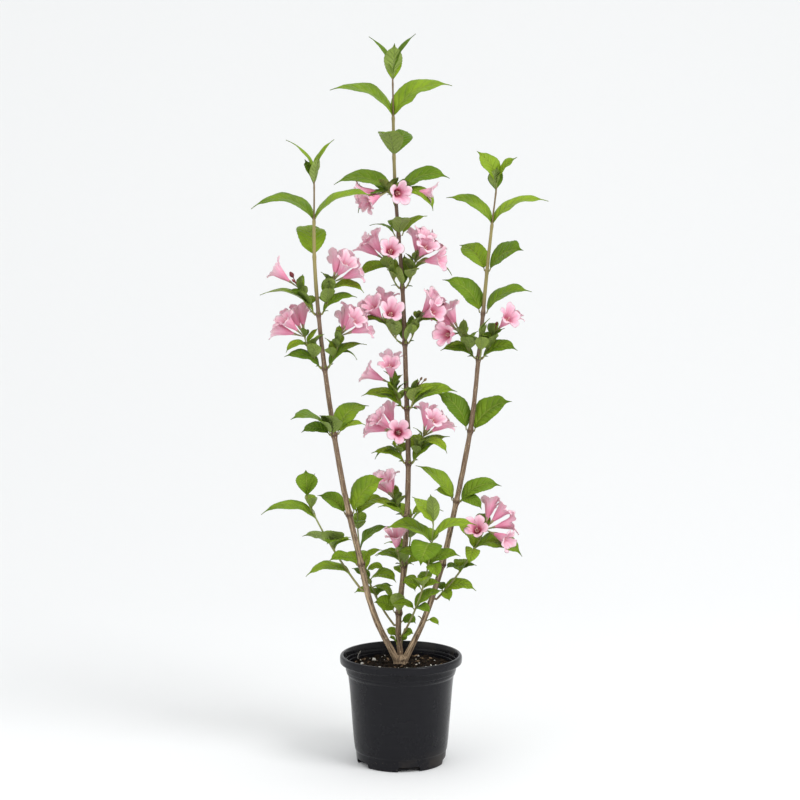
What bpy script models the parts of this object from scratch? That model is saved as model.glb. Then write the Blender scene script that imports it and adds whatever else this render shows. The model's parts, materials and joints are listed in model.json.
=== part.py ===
# Potted weigela: a short woody crown, three tall stems, opposite leaves, flowering side shoots and a round nursery pot.
# Metres, +Z up, +X to the right of the plant's front, -Y towards its front. The origin is under the middle of the pot.

import math
import random

import bmesh
import bpy
import numpy as np
from mathutils import Matrix, Vector
from mathutils.bvhtree import BVHTree

MM = 0.001
GAP = 0.0003                # clear space between two pieces that touch on the real plant
OVERLAP_MARGIN = 0.00005    # keeps rounded numbers from closing a gap
UP = np.array((0.0, 0.0, 1.0))

# Pot and soil
POT_HEIGHT = 0.146
POT_RIM_RADIUS = 0.0825
POT_LIP_DEPTH = 0.0115
POT_COLLAR_RADIUS = 0.0750
POT_COLLAR_DEPTH = 0.0275   # from the rim's top to the foot of the collar
POT_BODY_RADIUS = 0.0712
POT_FOOT_RADIUS = 0.0600
POT_WALL = 0.0020
POT_FLOOR = 0.0030
POT_SIDES = 36
DRAIN_COUNT = 5
DRAIN_WIDTH = 0.030
DRAIN_HEIGHT = 0.0065
DRAIN_FIRST_TURN = -79.5    # degrees
SOIL_LEVEL = 0.131
SOIL_EDGE_DROP = 0.0035
SOIL_FLAT_RADIUS = 0.022

# Crown: (radius, height above the soil) up its outside
CROWN_PROFILE = (
    (0.0130, 0.0000),
    (0.0104, 0.0018),
    (0.0094, 0.0050),
    (0.0100, 0.0085),
    (0.0088, 0.0112),
    (0.0050, 0.0128),
)
CROWN_SIDES = 16

# Stems: places that each one passes through (x, y, z in mm), its radii in mm, and the height where its tip mass takes over
STEMS = {
    "left": {
        "route": (
            (-6.0, -1.0, 138), (-33, -4, 193), (-57, -8, 286), (-78, -13, 382),
            (-94, -18, 484), (-104, -21, 562), (-113, -26, 672), (-113, -30, 782),
        ),
        "radii": (4.2, 1.7),
        "tip_from": 712,
    },
    "centre": {
        "route": (
            (-0.4, 5.4, 139.5), (-3.4, 4.4, 172), (3.7, 6, 262), (9.8, 8, 386),
            (7.0, 10, 508), (1.4, 10, 649), (-7.8, 10, 773), (-11.0, 10, 916),
        ),
        "radii": (3.8, 1.8),
        "tip_from": 797,
    },
    "right": {
        "route": (
            (5.8, -0.8, 138.5), (30, 3, 190), (52, 7, 254), (74, 12, 349),
            (93, 17, 446), (106.5, 22, 569), (119, 27, 699), (128, 30, 776),
        ),
        "radii": (4.0, 1.7),
        "tip_from": 706,
    },
}
STEM_POINTS = 22
STEM_TAPER_POWER = 1.6

# Nodes on the stems, from the tip down. A pair of leaves is (turn, out, up, out, up): the way its first leaf goes, in
# degrees from +X towards +Y, how far its tip reaches out and up from the node, and the same for the leaf opposite.
# A side shoot is (turn, out, up), the ways its flowers face (turn, rise) and its own pairs of leaves. Lengths in mm.
NODES = {
    "centre": (
        {"height": 914, "pairs": ((0, 31, 58, 32, 55),), "width": 0.28},
        {"height": 907, "pairs": ((-80, 16, 52, 14, 46),), "width": 0.56},
        {"height": 862, "pairs": ((-4, 78, 43, 84, 37),)},
        {"height": 811, "pairs": ((-112, 58, 28, 50, 36),), "width": 0.56},
        {"height": 759, "pairs": ((-5, 68, 24, 78, 17),), "shoots": (
            ((-45, 9, 8), ((8, 16),), ((-14, 44, -24, 10, -18),)),
            ((-135, 9, 8), ((-80, 8), (182, 4), (206, -10)), ((192, 42, -26, 12, 14),)),
        )},
        {"height": 708, "pairs": ((-86, 46, 22, 46, 20), (4, 34, 26, 34, 14)), "width": 0.56},
        {"height": 639, "pairs": ((-100, 34, 14, 42, 24),), "shoots": (
            ((172, 16, 36), ((-84, 26), (186, 34)), ((192, 40, -10, 18, 24), (-94, 32, 4, 30, 12))),
            ((8, 12, 34), ((70, 74), (-44, 56), (4, 38)), ((10, 54, -8, 12, 22), (-84, 34, -6, 28, 10))),
        )},
        {"height": 565, "pairs": ((-70, 36, 14, 40, 16),), "shoots": (
            ((176, 20, 27), ((172, 36), (84, 66), (-80, 22)), ((186, 44, 10, 8, 28), (-95, 34, 2, 30, 8))),
            ((6, 11, 32), ((14, 46), (-50, 16)), ((-8, 38, 4, 16, 26), (-84, 30, 8, 28, 12))),
        )},
        {"height": 478, "pairs": ((-6, 62, 22, 56, 16),), "shoots": (
            ((165, 14, 32), ((100, 70), (184, 30)), ((-80, 32, 2, 26, 18), (14, 28, 24, 30, 8))),
            ((-40, 8, 22), (), ((-70, 34, 10, 28, 12), (10, 34, 22, 16, 20))),
        )},
        {"height": 404, "pairs": ((4, 50, 36, 44, 14),), "shoots": (
            ((160, 11, 40), ((-84, 8), (184, 20), (126, 60)), ((-100, 36, -22, 24, 12), (190, 34, -10, 18, 14))),
            ((-8, 14, 36), ((56, 68), (2, 36)), ((-24, 38, -10, 22, 10), (60, 30, 6, 26, 12))),
        )},
        {"height": 332, "pairs": ((174, 58, 12, 34, 14),), "shoots": (
            ((150, 12, 20), ((186, 46), (120, 62)), ((-84, 30, 8, 24, 12), (20, 26, 16, 24, 10))),
        )},
        {"height": 266, "pairs": ((-84, 40, 12, 40, 16),), "shoots": (
            ((-120, 8, 12), ((-104, 64),), ((200, 34, 8, 24, 16),)),
        )},
        {"height": 201, "pairs": ((182, 28, 14, 26, -12), (-90, 22, 34, 30, 18)), "width": 0.62},
    ),
    "left": (
        {"height": 780, "pairs": ((4, 27, 53, 37, 52),), "width": 0.28},
        {"height": 770, "pairs": ((-74, 20, 44, 26, 40),), "width": 0.72},
        {"height": 726, "pairs": ((-4, 80, 33, 84, 17),)},
        {"height": 680, "pairs": ((104, 58, 40, 46, 18),), "width": 0.62},
        {"height": 605, "pairs": ((188, 72, 26, 46, 22),), "shoots": (
            ((178, 22, 36), ((184, 32),), ((-90, 30, 8, 30, 14), (10, 16, 26, 24, 20))),
            ((14, 14, 42), ((42, 44), (-8, 26)), ((-2, 44, -2, 14, 26), (-82, 30, 14, 30, 18))),
        )},
        {"height": 534, "pairs": ((4, 51, 30, 48, 16),), "shoots": (
            ((170, 22, 42), ((110, 66), (184, 18)), ((200, 30, -8, 16, 24), (-80, 34, 6, 26, 10))),
            ((2, 15, 42), ((30, 64), (-4, 20)), ((-90, 34, 4, 26, 14), (10, 30, -6, 14, 24))),
        )},
        {"height": 445, "pairs": ((-136, 66, 26, 56, 34), (186, 38, 4, 36, 12)), "width": 0.60},
        {"height": 338, "pairs": ((-24, 44, 50, 40, 24),), "width": 0.60},
        {"height": 270, "pairs": ((-150, 44, 10, 28, 14),), "width": 0.56},
    ),
    "right": (
        {"height": 772, "pairs": ((-22, 30, 40, 28, 49),), "width": 0.68},
        {"height": 764, "pairs": ((-104, 24, 38, 24, 34),), "width": 0.60},
        {"height": 721, "pairs": ((-4, 76, 33, 62, 38),)},
        {"height": 661, "pairs": ((-46, 58, 28, 52, 34),), "width": 0.60},
        {"height": 605, "pairs": ((-6, 60, 29, 50, 44),), "width": 0.60},
        {"height": 544, "pairs": ((-10, 48, 12, 46, 10),), "shoots": (
            ((172, 20, 34), ((-150, 62), (-120, 2)), ((-90, 30, 16, 28, 20), (196, 26, 4, 16, 24))),
            ((4, 17, 36), ((4, 42),), ((-92, 30, 8, 28, 22), (-10, 22, 28, 16, 30))),
            ((-70, 8, 30), (), ((-60, 34, 18, 28, 22),)),
        )},
        {"height": 447, "pairs": ((-12, 52, 42, 42, 50),), "width": 0.60},
        {"height": 352, "pairs": ((-8, 55, 22, 50, 46),), "width": 0.52},
        {"height": 267, "pairs": ((-60, 32, 12, 28, 16),), "width": 0.56},
    ),
}

# Leafy shoots from low on the stems: where each leaves its stem (mm), the way and how far it goes, how much it curves
# up, its own nodes as (share of the way along, pairs of leaves), and its flowers as (share, turn, rise)
SHOOT_LEAF_WIDTH = 0.58
SHOOTS = {
    "left_outer": {
        "stem": "left", "height": 236, "turn": 184, "out": 75, "up": 128, "curve": 14, "radius": 1.6,
        "nodes": (
            (0.13, ((186, 64, 4, 26, 14),)),
            (0.46, ((174, 42, 16, 26, 12), (-100, 36, 12, 36, 18))),
            (0.74, ((180, 76, 10, 46, 50),)),
            (0.86, ((-84, 24, 20, 28, 18),)),
            (0.97, ((-140, 26, 34, 18, 30),)),
        ),
        "flowers": (),
    },
    "left_inner": {
        "stem": "centre", "height": 184, "turn": 156, "out": 54, "up": 150, "curve": 46, "radius": 1.5,
        "nodes": (
            (0.28, ((186, 30, 6, 24, 14),)),
            (0.50, ((-66, 46, 16, 42, 18),)),
            (0.68, ((172, 40, 28, 40, 34),)),
            (0.84, ((-92, 42, 16, 34, 22),)),
            (0.97, ((14, 40, 22, 34, 26),)),
        ),
        "flowers": (),
    },
    "front": {
        "stem": "centre", "height": 170, "turn": -46, "out": 60, "up": 164, "curve": 34, "radius": 1.5,
        "nodes": (
            (0.26, ((8, 40, 26, 32, 8),)),
            (0.46, ((-96, 42, 16, 36, 16),)),
            (0.64, ((-16, 44, 16, 42, 18),)),
            (0.82, ((178, 62, 20, 60, 26), (-96, 48, -12, 34, 12))),
            (0.97, ((-108, 20, 44, 26, 26),)),
        ),
        "flowers": (),
    },
    "right_outer": {
        "stem": "right", "height": 222, "turn": -8, "out": 66, "up": 100, "curve": 20, "radius": 1.5,
        "nodes": (
            (0.10, ((-14, 46, 4, 20, 10),)),
            (0.40, ((-84, 32, 6, 30, 12), (170, 26, 8, 24, 10))),
            (0.70, ((-6, 66, -6, 30, 44), (-100, 36, -14, 36, 14))),
            (0.88, ((84, 36, 26, 26, 18),)),
        ),
        "flowers": (
            (0.84, -84, 16), (0.97, 60, 62), (0.97, 10, 46), (0.97, 0, 8), (0.97, -34, -16),
        ),
    },
    "back": {
        "stem": "centre", "height": 226, "turn": 76, "out": 56, "up": 92, "curve": 30, "radius": 1.4,
        "nodes": (
            (0.40, ((160, 44, 12, 44, 10),)),
            (0.74, ((82, 48, 12, 34, 20),)),
            (0.97, ((-10, 46, 18, 48, 20),)),
        ),
        "flowers": (),
    },
}

# Leaves: an ovate blade on a short stalk, folded up along its midrib and arched over
SEED = 7
STALK_LENGTH = 0.009
STALK_RADIUS = 0.0009
BLADE_WIDTH = 0.50          # of its length
BLADE_SHARES = (0.22, 0.50, 0.80)
SMALL_BLADE_SHARES = (0.30, 0.70)
SMALL_BLADE = 0.050
BLADE_RISE_POWER = 0.80     # of the outline towards the stalk
BLADE_FALL_POWER = 1.15     # of the outline towards the drip tip
BLADE_THICKNESS = 0.02      # of its length, at the midrib
BLADE_FOLD = 22.0           # degrees
LEVEL_BEND = 108.0          # degrees that a level leaf arches over; a steep one arches less
BEND_LOSS = 0.85
LEAF_SWAY = 7.0             # degrees of seeded change to turn and bend
LEAF_ROLL = 12.0
FRONT_ROLL = 26.0           # degrees that a sideways leaf turns its face towards the front

# Flowers: a stalk, a narrow tube that opens into a funnel, and five round lobes
PEDICEL_LENGTH = 0.012
PEDICEL_RADIUS = 0.0009
FLOWER_LENGTH = 0.031
TUBE_RADIUS = 0.0018
THROAT_RADIUS = 0.0042
THROAT_SHARE = 0.45
LOBES = 5
LOBE_POINTS = 3
LOBE_RADII = (0.0098, 0.0158, 0.0158)
LOBE_LIFT = (0.90, 0.97, 0.97)      # share of the flower's length at each of those radii
FLOWER_SWAY = 5.0

# Side shoots and the collars that join opposite leaves round a stem
SIDE_SHOOT_RADIUS = 0.0011
SIDE_SHOOT_CURVE = 26.0
SIDE_SHOOT_SHARES = (0.72, 0.40)
TWIG_POINTS = 5
THINNING = (0.60, 0.63, 0.66, 0.68, 0.70, 0.72, 0.74, 0.76, 0.78, 0.80, 0.84, 0.88, 0.92, 1.0)   # shares of the joined faces to keep
LIGHT_THINNING = (0.80, 0.83, 0.86, 0.90, 0.94, 1.0)
FEW_PIECES = 7
ROOT_DEPTH = 0.0005        # how far roots run past the middle of what carries them
COLLAR_THICKNESS = 0.0013
COLLAR_SIDES = 6

COLOURS = {
    "pot": ((0.022, 0.022, 0.024), 0.42),
    "soil": ((0.030, 0.019, 0.012), 0.95),
    "bark": ((0.290, 0.205, 0.140), 0.80),
    "foliage": ((0.105, 0.220, 0.035), 0.50),
    "blossom_foliage": ((0.480, 0.330, 0.230), 0.55),
}


def clear_scene():
    for item in list(bpy.data.objects):
        bpy.data.objects.remove(item, do_unlink=True)


def new_collection(name):
    group = bpy.data.collections.new(name)
    bpy.context.scene.collection.children.link(group)
    return group


def make_material(name):
    colour, roughness = COLOURS[name]
    material = bpy.data.materials.new(name)
    material.use_nodes = True
    shader = material.node_tree.nodes["Principled BSDF"]
    shader.inputs["Base Color"].default_value = (*colour, 1.0)
    shader.inputs["Roughness"].default_value = roughness
    shader.inputs["Metallic"].default_value = 0.0
    return material


def mesh_object(name, points, faces, group):
    """An object from points and faces, with its faces turned outwards."""
    mesh = bpy.data.meshes.new(name)
    mesh.from_pydata([tuple(point) for point in points], [], faces)
    shape = bmesh.new()
    shape.from_mesh(mesh)
    bmesh.ops.recalc_face_normals(shape, faces=shape.faces)
    shape.to_mesh(mesh)
    shape.free()
    item = bpy.data.objects.new(name, mesh)
    group.objects.link(item)
    return item


def evaluated_mesh(item):
    bpy.context.view_layer.update()
    depsgraph = bpy.context.evaluated_depsgraph_get()
    return bpy.data.meshes.new_from_object(item.evaluated_get(depsgraph), depsgraph=depsgraph)


def tube(name, points, radii, group, resolution=0):
    """A closed tube along points with its own radius at each, made from a bevelled curve."""
    curve = bpy.data.curves.new(name, "CURVE")
    curve.dimensions = "3D"
    curve.bevel_depth = 1.0
    curve.bevel_resolution = resolution
    curve.use_fill_caps = True
    spline = curve.splines.new("POLY")
    spline.points.add(len(points) - 1)
    for place, point, radius in zip(spline.points, points, radii):
        place.co = (*point, 1.0)
        place.radius = radius
    guide = bpy.data.objects.new(name + "_guide", curve)
    group.objects.link(guide)
    mesh = evaluated_mesh(guide)
    bpy.data.objects.remove(guide, do_unlink=True)
    shape = bmesh.new()
    shape.from_mesh(mesh)
    bmesh.ops.remove_doubles(shape, verts=shape.verts, dist=1e-6)
    bmesh.ops.recalc_face_normals(shape, faces=shape.faces)
    shape.to_mesh(mesh)
    shape.free()
    mesh.name = name
    item = bpy.data.objects.new(name, mesh)
    group.objects.link(item)
    return item


def turned(name, profile, sides, group):
    """A turned solid from a closed or axis-to-axis profile of (radius, height), outer side from the top down."""
    mesh = bpy.data.meshes.new(name)
    points = [(radius, 0.0, height) for radius, height in profile]
    edges = [(i, i + 1) for i in range(len(points) - 1)]
    mesh.from_pydata(points, edges, [])
    item = bpy.data.objects.new(name, mesh)
    group.objects.link(item)
    screw = item.modifiers.new("turn", "SCREW")
    screw.steps = sides
    screw.render_steps = sides
    screw.use_merge_vertices = True
    screw.merge_threshold = 0.00001
    return item


def heading(turn, rise=0.0):
    """The unit vector that points turn degrees round from +X and rise degrees above level."""
    turn, rise = math.radians(turn), math.radians(rise)
    return np.array((math.cos(rise) * math.cos(turn), math.cos(rise) * math.sin(turn), math.sin(rise)))


def smooth_point(stem, height):
    """Where a stem's axis is at a height, on a smooth curve through its route."""
    route = np.array(STEMS[stem]["route"]) * MM
    levels = route[:, 2]
    slopes = np.gradient(route, levels, axis=0)
    low = int(np.clip(np.searchsorted(levels, height) - 1, 0, len(levels) - 2))
    span = levels[low + 1] - levels[low]
    u = (height - levels[low]) / span
    return (
        (2 * u**3 - 3 * u**2 + 1) * route[low]
        + (u**3 - 2 * u**2 + u) * span * slopes[low]
        + (3 * u**2 - 2 * u**3) * route[low + 1]
        + (u**3 - u**2) * span * slopes[low + 1]
    )


def stem_levels(stem):
    """The heights of a stem's sections, from its foot to where its tip mass takes over."""
    return np.linspace(STEMS[stem]["route"][0][2] * MM, STEMS[stem]["tip_from"] * MM, STEM_POINTS)


def stem_point(stem, height):
    """Where a stem's axis is at a height, on the straight lengths between its sections."""
    levels = stem_levels(stem)
    if height > levels[-1]:
        return smooth_point(stem, height)
    places = np.array([smooth_point(stem, level) for level in levels])
    return np.array([np.interp(height, levels, places[:, axis]) for axis in range(3)])


def stem_radius(stem, height):
    """A stem tapers slowly at first and faster near its tip."""
    foot, tip = (value * MM for value in STEMS[stem]["radii"])
    low, high = (STEMS[stem]["route"][i][2] * MM for i in (0, -1))
    share = max(0.0, (height - low) / (high - low))
    return foot + (tip - foot) * share**STEM_TAPER_POWER


def stem_direction(stem, height):
    step = 0.002
    along = stem_point(stem, height + step) - stem_point(stem, height - step)
    return along / np.linalg.norm(along)


def arc(start, turn, out, up, bend, shares):
    """Points and directions at shares of a circular arc from start to a tip, bending down by bend degrees."""
    chord = math.hypot(out, up)
    middle = math.atan2(up, out)
    half = math.radians(bend) / 2
    radius = chord / (2 * math.sin(half))
    level = heading(turn)
    points, directions = [], []
    for share in shares:
        first, now = middle + half, middle + half - 2 * half * share
        along = radius * (math.sin(first) - math.sin(now))
        climb = radius * (math.cos(now) - math.cos(first))
        points.append(np.asarray(start) + along * level + np.array((0, 0, climb)))
        directions.append(math.cos(now) * level + np.array((0, 0, math.sin(now))))
    return points, directions, abs(2 * half * radius)


def sideways(turn, along=UP):
    """The unit vector square to along that points turn degrees round from +X."""
    way = heading(turn)
    way = way - way.dot(along) * along
    return way / np.linalg.norm(way)


def grow_leaf(start, turn, out, up, width, chance):
    """One leaf's measures, with its small seeded differences."""
    steepness = math.degrees(math.atan2(up, out))
    bend = LEVEL_BEND - BEND_LOSS * max(0.0, steepness) + chance.uniform(-LEAF_SWAY, LEAF_SWAY)
    return {
        "start": start,
        "turn": turn + chance.uniform(-LEAF_SWAY, LEAF_SWAY),
        "out": out * MM,
        "up": up * MM,
        "bend": bend,
        "width": width,
        "roll": FRONT_ROLL * math.cos(math.radians(turn)) + chance.uniform(-LEAF_ROLL, LEAF_ROLL),
    }


def grow_pair(start, pair, away, width, chance, along=UP):
    """Two opposite leaves of a node, which start away from the axis of a limb that points along."""
    turn, out, up, other_out, other_up = pair
    return [
        grow_leaf(start + away * sideways(turn, along), turn, out, up, width, chance),
        grow_leaf(start - away * sideways(turn, along), turn + 180, other_out, other_up, width, chance),
    ]


def grow_flower(start, face, chance):
    turn, rise = face
    return {
        "start": start,
        "turn": turn + chance.uniform(-FLOWER_SWAY, FLOWER_SWAY),
        "rise": rise + chance.uniform(-FLOWER_SWAY, FLOWER_SWAY),
        "spin": chance.uniform(0, 360 / LOBES),
    }


def grow_side_shoot(start, shoot, away, along, chance):
    """A short twig with its flowers at the end and its pairs of leaves below them."""
    (turn, out, up), faces, pairs = shoot
    root = start + away * sideways(turn, along)
    out, up = out * MM, up * MM
    shares = np.linspace(0, 1, TWIG_POINTS)
    points, _, _ = arc(root, turn, out, up, -SIDE_SHOOT_CURVE, shares)
    radii = SIDE_SHOOT_RADIUS * (1 - 0.25 * shares)
    leaves = []
    for share, pair in zip(SIDE_SHOOT_SHARES, pairs):
        (place,), _, _ = arc(root, turn, out, up, -SIDE_SHOOT_CURVE, (share,))
        leaves += grow_pair(place, pair, -ROOT_DEPTH, BLADE_WIDTH, chance)
    flowers = [grow_flower(points[-1], face, chance) for face in faces]
    return (points, radii), leaves, flowers


def grow_node(stem, node, away, chance):
    """Everything that one node of a stem carries."""
    start = stem_point(stem, node["height"] * MM)
    along = stem_direction(stem, node["height"] * MM)
    twigs, leaves, flowers = [], [], []
    for pair in node["pairs"]:
        leaves += grow_pair(start, pair, away, node.get("width", BLADE_WIDTH), chance, along)
    for shoot in node.get("shoots", ()):
        twig, more_leaves, more_flowers = grow_side_shoot(start, shoot, away, along, chance)
        twigs.append(twig)
        leaves += more_leaves
        flowers += more_flowers
    return twigs, leaves, flowers


def grow_shoot(shoot, chance):
    """A leafy shoot from low on a stem."""
    stem, height = shoot["stem"], shoot["height"] * MM
    radius = shoot["radius"] * MM
    away = collar_radius(stem, height, radius + OVERLAP_MARGIN)
    root = stem_point(stem, height) + away * sideways(shoot["turn"], stem_direction(stem, height))
    out, up, curve = shoot["out"] * MM, shoot["up"] * MM, -shoot["curve"]
    shares = np.linspace(0, 1, TWIG_POINTS + 2)
    points, _, _ = arc(root, shoot["turn"], out, up, curve, shares)
    leaves = []
    for share, pairs in shoot["nodes"]:
        (place,), _, _ = arc(root, shoot["turn"], out, up, curve, (share,))
        for pair in pairs:
            leaves += grow_pair(place, pair, -ROOT_DEPTH, SHOOT_LEAF_WIDTH, chance)
    flowers = []
    for share, turn, rise in shoot["flowers"]:
        (place,), _, _ = arc(root, shoot["turn"], out, up, curve, (share,))
        flowers.append(grow_flower(place, (turn, rise), chance))
    return [(points, radius * (1 - 0.4 * shares))], leaves, flowers


def collar_radius(stem, height, thickness):
    """The radius of a collar's middle line, clear of the stem's corners and of the gap."""
    return (stem_radius(stem, height) + GAP) / math.cos(math.pi / COLLAR_SIDES) + OVERLAP_MARGIN + thickness


def collar(stem, height, thickness, group):
    """A ring round a stem at a node, clear of the bark, which joins what grows on both its sides."""
    bpy.ops.mesh.primitive_torus_add(
        major_radius=collar_radius(stem, height, thickness),
        minor_radius=thickness,
        major_segments=COLLAR_SIDES,
        minor_segments=4,
    )
    item = bpy.context.active_object
    for owner in list(item.users_collection):
        owner.objects.unlink(item)
    group.objects.link(item)
    tilt = Vector(stem_direction(stem, height)).to_track_quat("Z", "Y").to_matrix().to_4x4()
    item.data.transform(Matrix.Translation(Vector(stem_point(stem, height))) @ tilt)
    return item


def loft(name, rings, group):
    """A closed solid through rings of equal count; the last ring may be a single point."""
    count = len(rings[0])
    points = [point for ring in rings for point in ring]
    faces = [tuple(reversed(range(count)))]
    for k in range(len(rings) - 1):
        near, far = k * count, (k + 1) * count
        for i in range(count):
            j = (i + 1) % count
            if len(rings[k + 1]) == 1:
                faces.append((near + i, near + j, far))
            else:
                faces.append((near + i, near + j, far + j))
                faces.append((near + i, far + j, far + i))
    if len(rings[-1]) > 1:
        last = (len(rings) - 1) * count
        faces.append(tuple(last + i for i in range(count)))
    return mesh_object(name, points, faces, group)


def blade_outline(share):
    """Half the blade's width at a share of its length, as a part of its greatest."""
    peak = BLADE_RISE_POWER / (BLADE_RISE_POWER + BLADE_FALL_POWER)
    top = peak**BLADE_RISE_POWER * (1 - peak)**BLADE_FALL_POWER
    return share**BLADE_RISE_POWER * (1 - share)**BLADE_FALL_POWER / top


def leaf_solid(leaf, group):
    """A leaf and its stalk as one loft of four-cornered sections, from inside the twig to the tip."""
    measures = (leaf["start"], leaf["turn"], leaf["out"], leaf["up"], leaf["bend"])
    length = arc(*measures, (0,))[2]
    blade = length - STALK_LENGTH
    stalk = STALK_LENGTH / length
    sections = BLADE_SHARES if blade > SMALL_BLADE else SMALL_BLADE_SHARES
    shares = [0.0, stalk] + [stalk + (1 - stalk) * share for share in sections] + [1.0]
    points, directions, _ = arc(*measures, shares)
    side = heading(leaf["turn"] + 90)
    roll, fold = math.radians(leaf["roll"]), math.radians(BLADE_FOLD)
    rings = []
    for k, (point, along) in enumerate(zip(points[:-1], directions)):
        normal = np.cross(along, side)
        across = math.cos(roll) * side + math.sin(roll) * normal
        upward = math.cos(roll) * normal - math.sin(roll) * side
        if k < 2:
            half, thick, lift = STALK_RADIUS, STALK_RADIUS, 0.0
        else:
            half = blade * leaf["width"] / 2 * blade_outline(sections[k - 2])
            thick, lift = blade * BLADE_THICKNESS / 2, fold
        reach, rise = half * math.cos(lift), half * math.sin(lift)
        rings.append([
            point + reach * across + rise * upward,
            point + thick * upward,
            point - reach * across + rise * upward,
            point - thick * upward,
        ])
    rings.append([points[-1]])
    return loft("leaf", rings, group)


def flower_solid(flower, group):
    """A flower and its stalk: five-sided sections that open into a rim of lobes round a hollow throat."""
    axis = heading(flower["turn"], flower["rise"])
    side = heading(flower["turn"] + 90)
    other = np.cross(axis, side)

    def place(along, radius, angle):
        spin = math.radians(angle + flower["spin"])
        return flower["start"] + along * axis + radius * (math.cos(spin) * side + math.sin(spin) * other)

    sections = (
        (-ROOT_DEPTH, PEDICEL_RADIUS),
        (PEDICEL_LENGTH, TUBE_RADIUS),
        (PEDICEL_LENGTH + THROAT_SHARE * FLOWER_LENGTH, THROAT_RADIUS),
    )
    step = 360 / LOBES
    points = [place(along, radius, step * i) for along, radius in sections for i in range(LOBES)]
    faces = [tuple(range(LOBES))]
    for k in range(len(sections) - 1):
        for i in range(LOBES):
            near, beside = k * LOBES + i, k * LOBES + (i + 1) % LOBES
            faces.append((near, beside, beside + LOBES))
            faces.append((near, beside + LOBES, near + LOBES))
    throat, rim = (len(sections) - 1) * LOBES, len(points)
    rim_count = LOBES * LOBE_POINTS
    for i in range(rim_count):
        along = PEDICEL_LENGTH + FLOWER_LENGTH * LOBE_LIFT[i % LOBE_POINTS]
        points.append(place(along, LOBE_RADII[i % LOBE_POINTS], step * (i / LOBE_POINTS)))
    points.append(place(PEDICEL_LENGTH + 0.55 * FLOWER_LENGTH, 0.0, 0.0))
    for i in range(rim_count):
        here, beside = rim + i, rim + (i + 1) % rim_count
        lobe, part = divmod(i, LOBE_POINTS)
        near = throat + (lobe + (part > LOBE_POINTS // 2)) % LOBES
        faces.append((near, here, beside))
        if part == LOBE_POINTS // 2:
            faces.append((near, beside, throat + (lobe + 1) % LOBES))
        faces.append((here, beside, rim + rim_count))
    return mesh_object("flower", points, faces, group)


def keep_main_shell(mesh):
    """Drops loose scraps and fills sealed hollows, by keeping only the largest closed shell."""
    shape = bmesh.new()
    shape.from_mesh(mesh)
    bmesh.ops.triangulate(shape, faces=shape.faces)
    unseen, shells = set(shape.faces), []
    while unseen:
        edge_of_shell = [unseen.pop()]
        shell = set(edge_of_shell)
        while edge_of_shell:
            face = edge_of_shell.pop()
            for edge in face.edges:
                for near in edge.link_faces:
                    if near in unseen:
                        unseen.remove(near)
                        shell.add(near)
                        edge_of_shell.append(near)
        volume = sum(f.verts[0].co.dot(f.verts[1].co.cross(f.verts[2].co)) for f in shell)
        shells.append((volume, shell))
    main = max(shells, key=lambda item: item[0])[1]
    drop = [face for face in shape.faces if face not in main]
    bmesh.ops.delete(shape, geom=drop, context="FACES")
    shape.to_mesh(mesh)
    shape.free()


def is_sound(mesh):
    """Whether a mesh is closed, with two faces at each edge, and nowhere crosses itself."""
    shape = bmesh.new()
    shape.from_mesh(mesh)
    closed = all(edge.is_manifold for edge in shape.edges) and all(point.is_manifold for point in shape.verts)
    tree = BVHTree.FromBMesh(shape)
    corners = [{point.index for point in face.verts} for face in shape.faces]
    crossed = any(not corners[a] & corners[b] for a, b in tree.overlap(tree) if a < b)
    shape.free()
    return closed and not crossed


def fuse(name, pieces, material, group):
    """Joins pieces into one node's solid with one Boolean union on their collection."""
    first, others = pieces[0], pieces[1:]
    joined = new_collection(name + "_pieces")
    for item in others:
        for owner in list(item.users_collection):
            owner.objects.unlink(item)
        joined.objects.link(item)
    union = first.modifiers.new("union", "BOOLEAN")
    union.operation = "UNION"
    union.operand_type = "COLLECTION"
    union.collection = joined
    union.solver = "MANIFOLD"
    thin = first.modifiers.new("thin", "DECIMATE")
    for ratio in THINNING if len(pieces) > FEW_PIECES else LIGHT_THINNING:
        thin.ratio = ratio
        mesh = evaluated_mesh(first)
        keep_main_shell(mesh)
        if is_sound(mesh):
            break
    mesh.name = name
    mesh.materials.clear()
    mesh.materials.append(material)
    for item in pieces:
        bpy.data.objects.remove(item, do_unlink=True)
    bpy.data.collections.remove(joined)
    node = bpy.data.objects.new(name, mesh)
    group.objects.link(node)
    return node


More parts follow.
